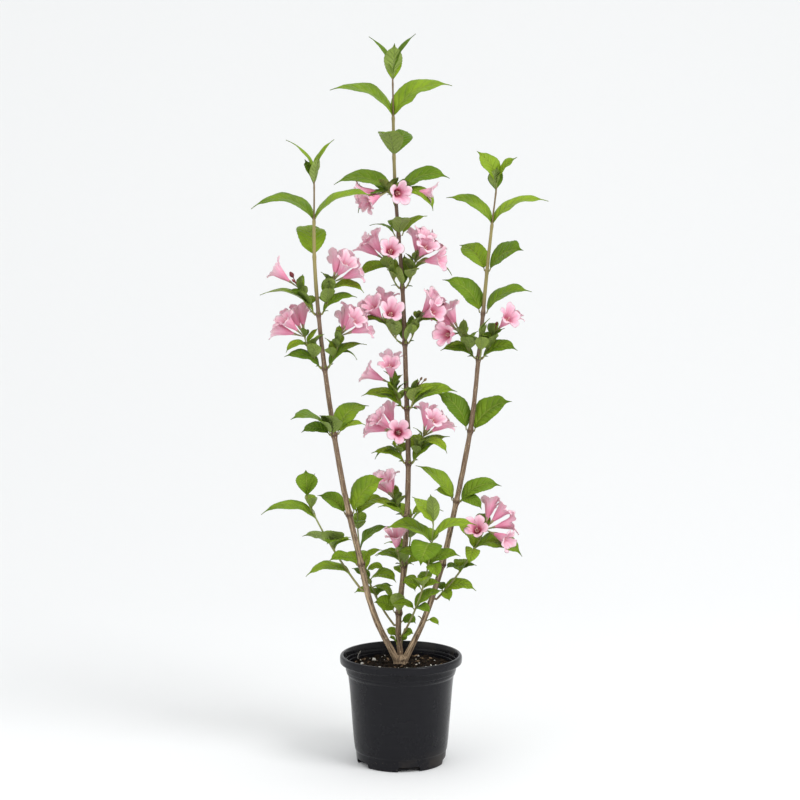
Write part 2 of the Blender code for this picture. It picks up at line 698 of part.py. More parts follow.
def build_pot(group, cutters, material):
    """A turned pot with a rolled lip, a collar, a tapering body and drain slots in its lower edge."""
    lip_foot = POT_HEIGHT - POT_LIP_DEPTH
    collar_foot = POT_HEIGHT - POT_COLLAR_DEPTH
    outside = (
        (POT_RIM_RADIUS - 0.0030, POT_HEIGHT),
        (POT_RIM_RADIUS - 0.0010, POT_HEIGHT - 0.0010),
        (POT_RIM_RADIUS, POT_HEIGHT - 0.0035),
        (POT_RIM_RADIUS - 0.0004, lip_foot + 0.0015),
        (POT_RIM_RADIUS - 0.0022, lip_foot),
        (POT_COLLAR_RADIUS + 0.0012, lip_foot - 0.0008),
        (POT_COLLAR_RADIUS, lip_foot - 0.0030),
        (POT_COLLAR_RADIUS - 0.0006, collar_foot + 0.0060),
        (POT_BODY_RADIUS, collar_foot),
        (POT_BODY_RADIUS - 0.0004, collar_foot - 0.0040),
        (POT_FOOT_RADIUS + 0.0020, 0.0160),
        (POT_FOOT_RADIUS, 0.0015),
        (POT_FOOT_RADIUS - 0.0015, 0.0),
        (0.0, 0.0),
    )
    inside = (
        (0.0, POT_FLOOR),
        (pot_bore(POT_FLOOR), POT_FLOOR),
        (pot_bore(collar_foot), collar_foot),
        (POT_COLLAR_RADIUS - POT_WALL, lip_foot),
        (POT_RIM_RADIUS - 0.0050, POT_HEIGHT - 0.0015),
        (POT_RIM_RADIUS - 0.0030, POT_HEIGHT),
    )
    pot = turned("pot", outside + inside, POT_SIDES, group)
    pot.data.materials.append(material)
    for k in range(DRAIN_COUNT):
        turn = math.radians(DRAIN_FIRST_TURN + k * 360 / DRAIN_COUNT)
        bpy.ops.mesh.primitive_cube_add(size=1.0)
        slot = bpy.context.active_object
        slot.name = f"drain_cutter_{k + 1}"
        for owner in list(slot.users_collection):
            owner.objects.unlink(slot)
        cutters.objects.link(slot)
        reach = POT_FOOT_RADIUS + 0.0002
        size = Matrix.Diagonal((0.012, DRAIN_WIDTH, 2 * DRAIN_HEIGHT, 1.0))
        slot.data.transform(Matrix.Rotation(turn, 4, "Z") @ Matrix.Translation((reach, 0.0, 0.0)) @ size)
        slot.hide_render = True
        slot.display_type = "WIRE"
    cut = pot.modifiers.new("drains", "BOOLEAN")
    cut.operation = "DIFFERENCE"
    cut.operand_type = "COLLECTION"
    cut.collection = cutters
    return pot


def pot_bore(height):
    """The radius of the pot's inside wall below its collar."""
    collar_foot = POT_HEIGHT - POT_COLLAR_DEPTH
    share = height / collar_foot
    return POT_FOOT_RADIUS - POT_WALL + share * (POT_BODY_RADIUS - POT_FOOT_RADIUS)


def build_soil(group, material):
    """Potting mix that fills the pot's inside, flat round the crown and a little lower at the wall."""
    collar_foot = POT_HEIGHT - POT_COLLAR_DEPTH
    lip_foot = POT_HEIGHT - POT_LIP_DEPTH
    edge = SOIL_LEVEL - SOIL_EDGE_DROP
    share = (edge - collar_foot) / (lip_foot - collar_foot)
    foot_bore = pot_bore(collar_foot)
    edge_bore = foot_bore + share * (POT_COLLAR_RADIUS - POT_WALL - foot_bore)
    play = GAP + OVERLAP_MARGIN
    profile = (
        (0.0, SOIL_LEVEL),
        (SOIL_FLAT_RADIUS, SOIL_LEVEL),
        (0.6 * edge_bore, SOIL_LEVEL - 0.45 * SOIL_EDGE_DROP),
        (edge_bore - play, edge),
        (foot_bore - play, collar_foot),
        (pot_bore(POT_FLOOR) - play, POT_FLOOR + GAP),
        (0.0, POT_FLOOR + GAP),
    )
    soil = turned("soil", profile, POT_SIDES, group)
    soil.data.materials.append(material)
    return soil


def stem_tube(name, stem, heights, extra, group, resolution=2):
    """The length of a stem through some heights, thickened by extra."""
    points = [stem_point(stem, height) for height in heights]
    radii = [stem_radius(stem, height) + extra for height in heights]
    return tube(name, points, radii, group, resolution)


def build_stems(group, material):
    stems = []
    for stem in STEMS:
        item = stem_tube(f"stem_{stem}", stem, stem_levels(stem), 0.0, group)
        item.data.materials.append(material)
        stems.append(item)
    return stems


def build_crown(group, cutters, material):
    """The woody crown from its flat cut on the soil to the fork, with a socket for the foot of each stem."""
    base = SOIL_LEVEL + GAP
    profile = [(0.0, base + CROWN_PROFILE[-1][1] + 0.001)]
    profile += [(radius, base + height) for radius, height in reversed(CROWN_PROFILE)]
    profile.append((0.0, base))
    crown = turned("crown", profile, CROWN_SIDES, group)
    crown.data.materials.append(material)
    play = GAP + OVERLAP_MARGIN
    for stem in STEMS:
        levels = stem_levels(stem)[:3]
        points = [stem_point(stem, level) for level in levels]
        points[0] = points[0] - play * stem_direction(stem, levels[1])
        radii = [stem_radius(stem, level) + play for level in levels]
        guide = tube(f"socket_{stem}", points, radii, cutters, resolution=2)
        guide.hide_render = True
        guide.display_type = "WIRE"
    cut = crown.modifiers.new("sockets", "BOOLEAN")
    cut.operation = "DIFFERENCE"
    cut.operand_type = "COLLECTION"
    cut.collection = cutters
    return crown


def surface_tree(item):
    points = [vertex.co.copy() for vertex in item.data.vertices]
    return BVHTree.FromPolygons(points, [tuple(face.vertices) for face in item.data.polygons])


def stands_clear(item, neighbours):
    """Whether a piece neither touches nor nearly touches any of its neighbours' surfaces."""
    own = surface_tree(item)
    for tree in neighbours:
        if own.overlap(tree):
            return False
        if any(tree.find_nearest(vertex.co, 2 * GAP)[0] for vertex in item.data.vertices):
            return False
    return True


def start_mass(name, pieces, growth, group):
    """A mass's collar or own stem with its twigs, before its leaves and flowers."""
    twigs, leaves, flowers = growth
    pieces += [tube("twig", points, radii, group) for points, radii in twigs]
    return {
        "name": name,
        "pieces": pieces,
        "leaves": leaves,
        "flowers": flowers,
        "frame": [surface_tree(item) for item in pieces],
    }


def start_masses(group):
    """One mass for the leafy tip of each stem, and one for every node below it."""
    masses = []
    for stem, nodes in NODES.items():
        tip_from = STEMS[stem]["tip_from"] * MM
        tip_nodes = [node for node in nodes if node["height"] * MM > tip_from]
        side_nodes = [node for node in nodes if node["height"] * MM <= tip_from]
        chance = random.Random(f"{SEED}_{stem}_tip")
        top = tip_nodes[0]["height"] * MM
        heights = np.linspace(tip_from + GAP, top + STALK_RADIUS, TWIG_POINTS)
        pieces = [stem_tube("tip", stem, heights, 0.0, group, resolution=1)]
        growths = [grow_node(stem, node, -ROOT_DEPTH, chance) for node in tip_nodes]
        growth = [sum(parts, []) for parts in zip(*growths)]
        masses.append(start_mass(f"foliage_{stem}_tip", pieces, growth, group))
        for k, node in enumerate(reversed(side_nodes)):
            chance = random.Random(f"{SEED}_{stem}_{node['height']}")
            height = node["height"] * MM
            pieces = [collar(stem, height, COLLAR_THICKNESS, group)]
            away = collar_radius(stem, height, COLLAR_THICKNESS)
            growth = grow_node(stem, node, away, chance)
            masses.append(start_mass(f"foliage_{stem}_{k + 1}", pieces, growth, group))
    return masses


def start_shoots(group):
    masses = []
    for name, shoot in SHOOTS.items():
        chance = random.Random(f"{SEED}_{name}")
        thickness = shoot["radius"] * MM + OVERLAP_MARGIN
        pieces = [collar(shoot["stem"], shoot["height"] * MM, thickness, group)]
        masses.append(start_mass(f"shoot_{name}", pieces, grow_shoot(shoot, chance), group))
    return masses


def finish_mass(mass, neighbours, group, materials):
    """Adds the leaves and flowers that stand clear of everything else, and fuses the mass."""
    shapes = [leaf_solid(leaf, group) for leaf in mass["leaves"]]
    shapes += [flower_solid(flower, group) for flower in mass["flowers"]]
    for item in shapes:
        if stands_clear(item, neighbours):
            mass["pieces"].append(item)
        else:
            bpy.data.objects.remove(item, do_unlink=True)
    kind = "blossom_foliage" if mass["flowers"] else "foliage"
    return fuse(mass["name"], mass["pieces"], materials[kind], group)


def build_masses(limbs, group, materials):
    masses = start_masses(group) + start_shoots(group)
    finished = [surface_tree(item) for item in limbs]
    for mass in masses:
        frames = [tree for other in masses if other is not mass for tree in other["frame"]]
        node = finish_mass(mass, finished + frames, group, materials)
        finished.append(surface_tree(node))


def main():
    clear_scene()
    group = new_collection("potted_weigela")
    pot_cutters = new_collection("pot_cutters")
    crown_cutters = new_collection("crown_cutters")
    materials = {name: make_material(name) for name in COLOURS}
    build_pot(group, pot_cutters, materials["pot"])
    build_soil(group, materials["soil"])
    build_crown(group, crown_cutters, materials["bark"])
    stems = build_stems(group, materials["bark"])
    build_masses(stems, group, materials)


main()
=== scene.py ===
import json
import math
import random

import bpy
import numpy as np
from mathutils.bvhtree import BVHTree
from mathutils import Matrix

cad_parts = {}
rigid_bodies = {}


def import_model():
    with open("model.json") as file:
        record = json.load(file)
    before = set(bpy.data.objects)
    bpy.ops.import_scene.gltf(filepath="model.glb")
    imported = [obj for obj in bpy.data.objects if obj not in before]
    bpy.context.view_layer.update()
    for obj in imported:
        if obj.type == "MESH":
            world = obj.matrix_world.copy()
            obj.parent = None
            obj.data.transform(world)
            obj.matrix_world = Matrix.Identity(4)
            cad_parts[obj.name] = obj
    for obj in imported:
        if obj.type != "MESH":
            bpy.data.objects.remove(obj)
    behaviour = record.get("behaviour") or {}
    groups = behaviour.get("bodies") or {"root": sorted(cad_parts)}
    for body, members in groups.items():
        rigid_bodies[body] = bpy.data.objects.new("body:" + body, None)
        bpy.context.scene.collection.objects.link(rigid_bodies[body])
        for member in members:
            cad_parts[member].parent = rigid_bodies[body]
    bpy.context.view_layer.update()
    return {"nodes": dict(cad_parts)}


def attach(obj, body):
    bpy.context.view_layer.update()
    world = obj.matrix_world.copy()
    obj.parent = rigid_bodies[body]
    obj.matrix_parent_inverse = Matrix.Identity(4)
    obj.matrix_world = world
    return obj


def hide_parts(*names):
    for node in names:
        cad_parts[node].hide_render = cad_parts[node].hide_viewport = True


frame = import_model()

mm = 0.001
seed = 7

# Plain helpers


def latticeNoise(places, size, salt):
    # smooth noise from -1 to 1: each corner of a lattice of that size holds a number, and a place eases
    # between its eight corners
    cells = places / size
    low = np.floor(cells)
    ease = cells - low
    ease = ease * ease * (3 - 2 * ease)
    total = np.zeros(places.shape[:-1])
    for corner in range(8):
        step = np.array((corner & 1, corner >> 1 & 1, corner >> 2 & 1))
        spot = low + step
        phase = spot[..., 0] * 127.1 + spot[..., 1] * 311.7 + spot[..., 2] * 74.7 + salt * 53.3
        value = np.sin(phase) * 43758.5453
        value = value - np.floor(value)
        weight = np.prod(np.where(step == 1, ease, 1 - ease), axis=-1)
        total += weight * (2 * value - 1)
    return total


def smoothStep(low, high, value):
    # 0 below low, 1 above high, 3 s^2 - 2 s^3 between
    share = np.clip((value - low) / (high - low), 0, 1)
    return share * share * (3 - 2 * share)


def newBundle():
    return {"points": [], "quads": [], "tris": [], "values": {}, "count": 0}


def addShape(bundle, points, quads, tris, values):
    # turns the shape outwards by the sign of its volume: the sum of tetrahedra from its middle to its faces
    points = np.asarray(points, float)
    middle = points - points.mean(axis=0)
    corners = np.concatenate([tris, quads[:, (0, 1, 2)], quads[:, (0, 2, 3)]])
    a, b, c = (middle[corners[:, k]] for k in range(3))
    if np.einsum("ij,ij->", a, np.cross(b, c)) < 0:
        quads, tris = quads[:, ::-1], tris[:, ::-1]
    bundle["points"].append(points)
    bundle["quads"].append(quads + bundle["count"])
    bundle["tris"].append(tris + bundle["count"])
    for key, value in values.items():
        bundle["values"].setdefault(key, []).append(np.broadcast_to(value, len(points)).astype(np.float32))
    bundle["count"] += len(points)


def addRings(bundle, rings, values):
    # a closed loft: each ring joins the next by quads, and a fan to the middle of the end rings closes it
    rows, sides = rings.shape[:2]
    k = np.arange(sides)
    starts = np.arange(rows - 1)[:, None] * sides
    near, beside = starts + k, starts + (k + 1) % sides
    quads = np.stack([near, beside, beside + sides, near + sides], axis=-1).reshape(-1, 4)
    first, last = rows * sides, rows * sides + 1
    tail = (rows - 1) * sides
    tris = np.concatenate([
        np.stack([np.full(sides, first), (k + 1) % sides, k], axis=-1),
        np.stack([np.full(sides, last), tail + k, tail + (k + 1) % sides], axis=-1),
    ])
    points = np.concatenate([rings.reshape(-1, 3), [rings[0].mean(axis=0), rings[-1].mean(axis=0)]])
    full = {}
    for key, value in values.items():
        grid = np.broadcast_to(value, (rows, sides))
        full[key] = np.concatenate([grid.reshape(-1), [grid[0].mean(), grid[-1].mean()]])
    addShape(bundle, points, quads, tris, full)


def makePiece(name, bundle, material, nodes=()):
    # one joined mesh from the bundle's arrays, which stands for the named solids
    points = np.concatenate(bundle["points"])
    quads, tris = np.concatenate(bundle["quads"]), np.concatenate(bundle["tris"])
    mesh = bpy.data.meshes.new(name)
    mesh.vertices.add(len(points))
    mesh.vertices.foreach_set("co", points.astype(np.float32).ravel())
    corners = np.concatenate([quads.ravel(), tris.ravel()]).astype(np.int32)
    sizes = np.concatenate([np.full(len(quads), 4), np.full(len(tris), 3)]).astype(np.int32)
    mesh.loops.add(len(corners))
    mesh.loops.foreach_set("vertex_index", corners)
    mesh.polygons.add(len(sizes))
    mesh.polygons.foreach_set("loop_start", np.concatenate([[0], np.cumsum(sizes)[:-1]]).astype(np.int32))
    mesh.update(calc_edges=True)
    mesh.polygons.foreach_set("use_smooth", np.ones(len(sizes), bool))
    for key, parts in bundle["values"].items():
        mesh.attributes.new(key, "FLOAT", "POINT").data.foreach_set("value", np.concatenate(parts))
    mesh.validate()
    mesh.materials.append(material)
    piece = bpy.data.objects.new(name, mesh)
    bpy.context.scene.collection.objects.link(piece)
    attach(piece, "root")
    if nodes:
        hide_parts(*nodes)
    print(f"{name}: {len(points)} points, {2 * len(quads) + len(tris)} triangles")
    return piece


def heading(turn, rise=0.0):
    # the unit way at turn degrees round from +X and rise degrees up
    turn, rise = math.radians(turn), math.radians(rise)
    return np.array((math.cos(rise) * math.cos(turn), math.cos(rise) * math.sin(turn), math.sin(rise)))


def unit(vectors):
    return vectors / np.linalg.norm(vectors, axis=-1, keepdims=True)


# How the plant grows: the same rule and the same seed as its solids

stems = {     # places on each stem in mm, radii at foot and tip, and where its leafy tip starts
    "left": {
        "route": ((-6.0, -1.0, 138), (-33, -4, 193), (-57, -8, 286), (-78, -13, 382),
                  (-94, -18, 484), (-104, -21, 562), (-113, -26, 672), (-113, -30, 782)),
        "radii": (4.2, 1.7), "tipFrom": 712,
    },
    "centre": {
        "route": ((-0.4, 5.4, 139.5), (-3.4, 4.4, 172), (3.7, 6, 262), (9.8, 8, 386),
                  (7.0, 10, 508), (1.4, 10, 649), (-7.8, 10, 773), (-11.0, 10, 916)),
        "radii": (3.8, 1.8), "tipFrom": 797,
    },
    "right": {
        "route": ((5.8, -0.8, 138.5), (30, 3, 190), (52, 7, 254), (74, 12, 349),
                  (93, 17, 446), (106.5, 22, 569), (119, 27, 699), (128, 30, 776)),
        "radii": (4.0, 1.7), "tipFrom": 706,
    },
}

# node charts, tip first: height, pairs of leaves (turn, out, up, out, up), blade width, side shoots
# a side shoot: (turn, out, up), ways its flowers face, its own pairs
nodeCharts = {
    "centre": (
        (914, ((0, 31, 58, 32, 55),), 0.28, ()),
        (907, ((-80, 16, 52, 14, 46),), 0.56, ()),
        (862, ((-4, 78, 43, 84, 37),), None, ()),
        (811, ((-112, 58, 28, 50, 36),), 0.56, ()),
        (759, ((-5, 68, 24, 78, 17),), None, (
            ((-45, 9, 8), ((8, 16),), ((-14, 44, -24, 10, -18),)),
            ((-135, 9, 8), ((-80, 8), (182, 4), (206, -10)), ((192, 42, -26, 12, 14),)),
        )),
        (708, ((-86, 46, 22, 46, 20), (4, 34, 26, 34, 14)), 0.56, ()),
        (639, ((-100, 34, 14, 42, 24),), None, (
            ((172, 16, 36), ((-84, 26), (186, 34)), ((192, 40, -10, 18, 24), (-94, 32, 4, 30, 12))),
            ((8, 12, 34), ((70, 74), (-44, 56), (4, 38)), ((10, 54, -8, 12, 22), (-84, 34, -6, 28, 10))),
        )),
        (565, ((-70, 36, 14, 40, 16),), None, (
            ((176, 20, 27), ((172, 36), (84, 66), (-80, 22)), ((186, 44, 10, 8, 28), (-95, 34, 2, 30, 8))),
            ((6, 11, 32), ((14, 46), (-50, 16)), ((-8, 38, 4, 16, 26), (-84, 30, 8, 28, 12))),
        )),
        (478, ((-6, 62, 22, 56, 16),), None, (
            ((165, 14, 32), ((100, 70), (184, 30)), ((-80, 32, 2, 26, 18), (14, 28, 24, 30, 8))),
            ((-40, 8, 22), (), ((-70, 34, 10, 28, 12), (10, 34, 22, 16, 20))),
        )),
        (404, ((4, 50, 36, 44, 14),), None, (
            ((160, 11, 40), ((-84, 8), (184, 20), (126, 60)),
             ((-100, 36, -22, 24, 12), (190, 34, -10, 18, 14))),
            ((-8, 14, 36), ((56, 68), (2, 36)), ((-24, 38, -10, 22, 10), (60, 30, 6, 26, 12))),
        )),
        (332, ((174, 58, 12, 34, 14),), None, (
            ((150, 12, 20), ((186, 46), (120, 62)), ((-84, 30, 8, 24, 12), (20, 26, 16, 24, 10))),
        )),
        (266, ((-84, 40, 12, 40, 16),), None, (
            ((-120, 8, 12), ((-104, 64),), ((200, 34, 8, 24, 16),)),
        )),
        (201, ((182, 28, 14, 26, -12), (-90, 22, 34, 30, 18)), 0.62, ()),
    ),
    "left": (
        (780, ((4, 27, 53, 37, 52),), 0.28, ()),
        (770, ((-74, 20, 44, 26, 40),), 0.72, ()),
        (726, ((-4, 80, 33, 84, 17),), None, ()),
        (680, ((104, 58, 40, 46, 18),), 0.62, ()),
        (605, ((188, 72, 26, 46, 22),), None, (
            ((178, 22, 36), ((184, 32),), ((-90, 30, 8, 30, 14), (10, 16, 26, 24, 20))),
            ((14, 14, 42), ((42, 44), (-8, 26)), ((-2, 44, -2, 14, 26), (-82, 30, 14, 30, 18))),
        )),
        (534, ((4, 51, 30, 48, 16),), None, (
            ((170, 22, 42), ((110, 66), (184, 18)), ((200, 30, -8, 16, 24), (-80, 34, 6, 26, 10))),
            ((2, 15, 42), ((30, 64), (-4, 20)), ((-90, 34, 4, 26, 14), (10, 30, -6, 14, 24))),
        )),
        (445, ((-136, 66, 26, 56, 34), (186, 38, 4, 36, 12)), 0.60, ()),
        (338, ((-24, 44, 50, 40, 24),), 0.60, ()),
        (270, ((-150, 44, 10, 28, 14),), 0.56, ()),
    ),
    "right": (
        (772, ((-22, 30, 40, 28, 49),), 0.68, ()),
        (764, ((-104, 24, 38, 24, 34),), 0.60, ()),
        (721, ((-4, 76, 33, 62, 38),), None, ()),
        (661, ((-46, 58, 28, 52, 34),), 0.60, ()),
        (605, ((-6, 60, 29, 50, 44),), 0.60, ()),
        (544, ((-10, 48, 12, 46, 10),), None, (
            ((172, 20, 34), ((-150, 62), (-120, 2)), ((-90, 30, 16, 28, 20), (196, 26, 4, 16, 24))),
            ((4, 17, 36), ((4, 42),), ((-92, 30, 8, 28, 22), (-10, 22, 28, 16, 30))),
            ((-70, 8, 30), (), ((-60, 34, 18, 28, 22),)),
        )),
        (447, ((-12, 52, 42, 42, 50),), 0.60, ()),
        (352, ((-8, 55, 22, 50, 46),), 0.52, ()),
        (267, ((-60, 32, 12, 28, 16),), 0.56, ()),
    ),
}

# low leafy shoots: stem, height, (turn, out, up), how much it curves up, radius,
# its nodes (share of its length, pairs) and its flowers (share, turn, rise)
shootCharts = {
    "left_outer": ("left", 236, (184, 75, 128), 14, 1.6, (
        (0.13, ((186, 64, 4, 26, 14),)),
        (0.46, ((174, 42, 16, 26, 12), (-100, 36, 12, 36, 18))),
        (0.74, ((180, 76, 10, 46, 50),)),
        (0.86, ((-84, 24, 20, 28, 18),)),
        (0.97, ((-140, 26, 34, 18, 30),)),
    ), ()),
    "left_inner": ("centre", 184, (156, 54, 150), 46, 1.5, (
        (0.28, ((186, 30, 6, 24, 14),)),
        (0.50, ((-66, 46, 16, 42, 18),)),
        (0.68, ((172, 40, 28, 40, 34),)),
        (0.84, ((-92, 42, 16, 34, 22),)),
        (0.97, ((14, 40, 22, 34, 26),)),
    ), ()),
    "front": ("centre", 170, (-46, 60, 164), 34, 1.5, (
        (0.26, ((8, 40, 26, 32, 8),)),
        (0.46, ((-96, 42, 16, 36, 16),)),
        (0.64, ((-16, 44, 16, 42, 18),)),
        (0.82, ((178, 62, 20, 60, 26), (-96, 48, -12, 34, 12))),
        (0.97, ((-108, 20, 44, 26, 26),)),
    ), ()),
    "right_outer": ("right", 222, (-8, 66, 100), 20, 1.5, (
        (0.10, ((-14, 46, 4, 20, 10),)),
        (0.40, ((-84, 32, 6, 30, 12), (170, 26, 8, 24, 10))),
        (0.70, ((-6, 66, -6, 30, 44), (-100, 36, -14, 36, 14))),
        (0.88, ((84, 36, 26, 26, 18),)),
    ), ((0.84, -84, 16), (0.97, 60, 62), (0.97, 10, 46), (0.97, 0, 8), (0.97, -34, -16))),
    "back": ("centre", 226, (76, 56, 92), 30, 1.4, (
        (0.40, ((160, 44, 12, 44, 10),)),
        (0.74, ((82, 48, 12, 34, 20),)),
        (0.97, ((-10, 46, 18, 48, 20),)),
    ), ()),
}

growth = {
    "bladeWidth": 0.50, "shootLeafWidth": 0.58, "levelBend": 108.0, "bendLoss": 0.85,
    "sway": 7.0, "roll": 12.0, "frontRoll": 26.0, "flowerSway": 5.0,
    "rootDepth": 0.0005, "collar": 0.0013, "collarSides": 6, "gap": 0.0003, "margin": 0.00005,
    "twigRadius": 0.0011, "twigCurve": 26.0, "twigShares": (0.72, 0.40),
}
upward = np.array((0.0, 0.0, 1.0))


def stemPoints(stem, heights):
    # cubic through the route's places, with slopes from their neighbours
    route = np.array(stems[stem]["route"]) * mm
    levels = route[:, 2]
    slopes = np.gradient(route, levels, axis=0)
    heights = np.atleast_1d(heights)
    low = np.clip(np.searchsorted(levels, heights) - 1, 0, len(levels) - 2)
    span = (levels[low + 1] - levels[low])[:, None]
    u = (heights - levels[low])[:, None] / span
    return (
        (2 * u**3 - 3 * u**2 + 1) * route[low]
        + (u**3 - 2 * u**2 + u) * span * slopes[low]
        + (3 * u**2 - 2 * u**3) * route[low + 1]
        + (u**3 - u**2) * span * slopes[low + 1]
    )


def stemRadius(stem, heights):
    # foot + (tip - foot) x share^1.6 of the height
    foot, tip = (value * mm for value in stems[stem]["radii"])
    low, high = (stems[stem]["route"][i][2] * mm for i in (0, -1))
    share = np.clip((np.asarray(heights) - low) / (high - low), 0, None)
    return foot + (tip - foot) * share**1.6


def stemWay(stem, height):
    # from 2 mm below the height to 2 mm above it
    ends = stemPoints(stem, np.array((height - 0.002, height + 0.002)))
    return unit(ends[1] - ends[0])


def sideways(turn, along=upward):
    # the way turn, made square to along
    way = heading(turn)
    return unit(way - way.dot(along) * along)


def collarRadius(stem, height, thickness):
    # outside of a many-sided collar whose flats clear the stem by the gap
    clear = stemRadius(stem, height) + growth["gap"]
    return clear / math.cos(math.pi / growth["collarSides"]) + growth["margin"] + thickness


def arcPoints(start, turn, out, up, bend, shares):
    # places on a circle's arc from start to its tip, which turns down by bend degrees on the way
    shares = np.asarray(shares, float)
    half = math.radians(bend) / 2
    radius = math.hypot(out, up) / (2 * math.sin(half))
    middle = math.atan2(up, out)
    first, now = middle + half, middle + half - 2 * half * shares
    level = heading(turn)
    along = (radius * (math.sin(first) - np.sin(now)))[:, None] * level
    climb = (radius * (np.cos(now) - math.cos(first)))[:, None] * upward
    ways = np.cos(now)[:, None] * level + np.sin(now)[:, None] * upward
    return np.asarray(start) + along + climb, ways, abs(2 * half * radius)


def growLeaf(start, inner, turn, out, up, width, chance):
    # bend = level bend - loss x steepness; a leaf that faces front or back is rolled little
    sway = growth["sway"]
    steepness = math.degrees(math.atan2(up, out))
    bend = growth["levelBend"] - growth["bendLoss"] * max(0.0, steepness) + chance.uniform(-sway, sway)
    swayed = turn + chance.uniform(-sway, sway)
    frontRoll = growth["frontRoll"] * math.cos(math.radians(turn))
    return {
        "start": start, "inner": inner, "turn": swayed, "out": out * mm, "up": up * mm, "bend": bend,
        "width": width, "roll": frontRoll + chance.uniform(-growth["roll"], growth["roll"]),
    }


def growPair(start, pair, away, width, chance, along=upward):
    # two opposite leaves, half a turn apart, that start away from the middle of what bears them
    turn, out, up, otherOut, otherUp = pair
    side = sideways(turn, along)
    return [
        growLeaf(start + away * side, start, turn, out, up, width, chance),
        growLeaf(start - away * side, start, turn + 180, otherOut, otherUp, width, chance),
    ]


def growFlower(start, face, chance):
    sway = growth["flowerSway"]
    return {
        "start": start, "turn": face[0] + chance.uniform(-sway, sway),
        "rise": face[1] + chance.uniform(-sway, sway), "spin": chance.uniform(0, 72),
    }


def growSideShoot(start, shoot, away, along, chance):
    # an arc that curves up, with leaf pairs at fixed shares of it and flowers at its tip
    (turn, out, up), faces, pairs = shoot
    measures = (start + away * sideways(turn, along), turn, out * mm, up * mm, -growth["twigCurve"])
    shares = np.linspace(0, 1, 15)
    points, _, _ = arcPoints(*measures, shares)
    points = np.concatenate([[start], points])
    radii = growth["twigRadius"] * np.concatenate([[1.25], 1 - 0.25 * shares])
    leaves = []
    for share, pair in zip(growth["twigShares"], pairs):
        place = arcPoints(*measures, (share,))[0][0]
        leaves += growPair(place, pair, -growth["rootDepth"], growth["bladeWidth"], chance)
    return (points, radii), leaves, [growFlower(points[-1], face, chance) for face in faces]


def growNode(stem, chart, away, chance):
    # what one chart line puts on the stem: its pairs and its side shoots
    height, pairs, width, shoots = chart
    start, along = stemPoints(stem, height * mm)[0], stemWay(stem, height * mm)
    twigs, leaves, flowers = [], [], []
    for pair in pairs:
        leaves += growPair(start, pair, away, width or growth["bladeWidth"], chance, along)
    for shoot in shoots:
        twig, moreLeaves, moreFlowers = growSideShoot(start, shoot, away, along, chance)
        twigs.append(twig)
        leaves += moreLeaves
        flowers += moreFlowers
    return twigs, leaves, flowers


def growShoot(chart, chance):
    # a low shoot: an arc from the stem with pairs and flowers at the chart's shares
    stem, height, (turn, out, up), curve, radius, nodes, faces = chart
    height, radius = height * mm, radius * mm
    away = collarRadius(stem, height, radius + growth["margin"])
    start = stemPoints(stem, height)[0]
    measures = (start + away * sideways(turn, stemWay(stem, height)), turn, out * mm, up * mm, -curve)
    shares = np.linspace(0, 1, 40)
    points = np.concatenate([[start], arcPoints(*measures, shares)[0]])
    leaves, flowers = [], []
    for share, pairs in nodes:
        place = arcPoints(*measures, (share,))[0][0]
        for pair in pairs:
            leaves += growPair(place, pair, -growth["rootDepth"], growth["shootLeafWidth"], chance)
    for share, turn, rise in faces:
        flowers.append(growFlower(arcPoints(*measures, (share,))[0][0], (turn, rise), chance))
    return [(points, radius * np.concatenate([[1.2], 1 - 0.4 * shares]))], leaves, flowers


moreFlowers = {     # turn and rise of the flowers that fill each truss: mass, side shoot
    "foliage_centre_7": {0: ((-150, 52),), 1: ((-62, 40), (58, 50), (-30, 4))},
    "foliage_centre_6": {0: ((-130, 40), (120, 30)), 1: ((-36, 48), (44, 22))},
    "foliage_centre_9": {1: ((160, -4),)},
    "foliage_centre_5": {0: ((-100, 52),)},
    "foliage_centre_4": {0: ((-140, 40), (150, 16)), 1: ((-50, 50),)},
    "foliage_centre_3": {0: ((-130, 50),)},
    "foliage_left_5": {1: ((-44, 40), (80, 50))},
    "foliage_left_4": {0: ((-150, 40), (150, 62)), 1: ((-44, 36), (70, 40))},
    "foliage_right_4": {0: ((172, 40), (120, 20)), 1: ((-56, 30),)},
}

# leaves beside the solids' own, on stems: mass, stem, height, pair, blade width
stemExtras = (
    ("foliage_centre_2", "centre", 250, (-62, 27, -15, 22, 10), 0.66),
    ("foliage_centre_1", "centre", 188, (-30, 22, 1, 12, 6), 0.98),
    ("foliage_centre_1", "centre", 166, (-34, 20, 9, 16, 11), 0.94),
    ("foliage_centre_1", "centre", 158, (216, 14, 12, 11, 10), 0.86),
    ("shoot_right_outer", "right", 192, (-12, 17, -5, 5, 3), 0.62),
    ("foliage_right_2", "right", 352, (-32, 36, -8, 30, 12), 0.50),
    ("foliage_left_3", "left", 445, (-104, 40, 30, 34, 18), 0.74),
)

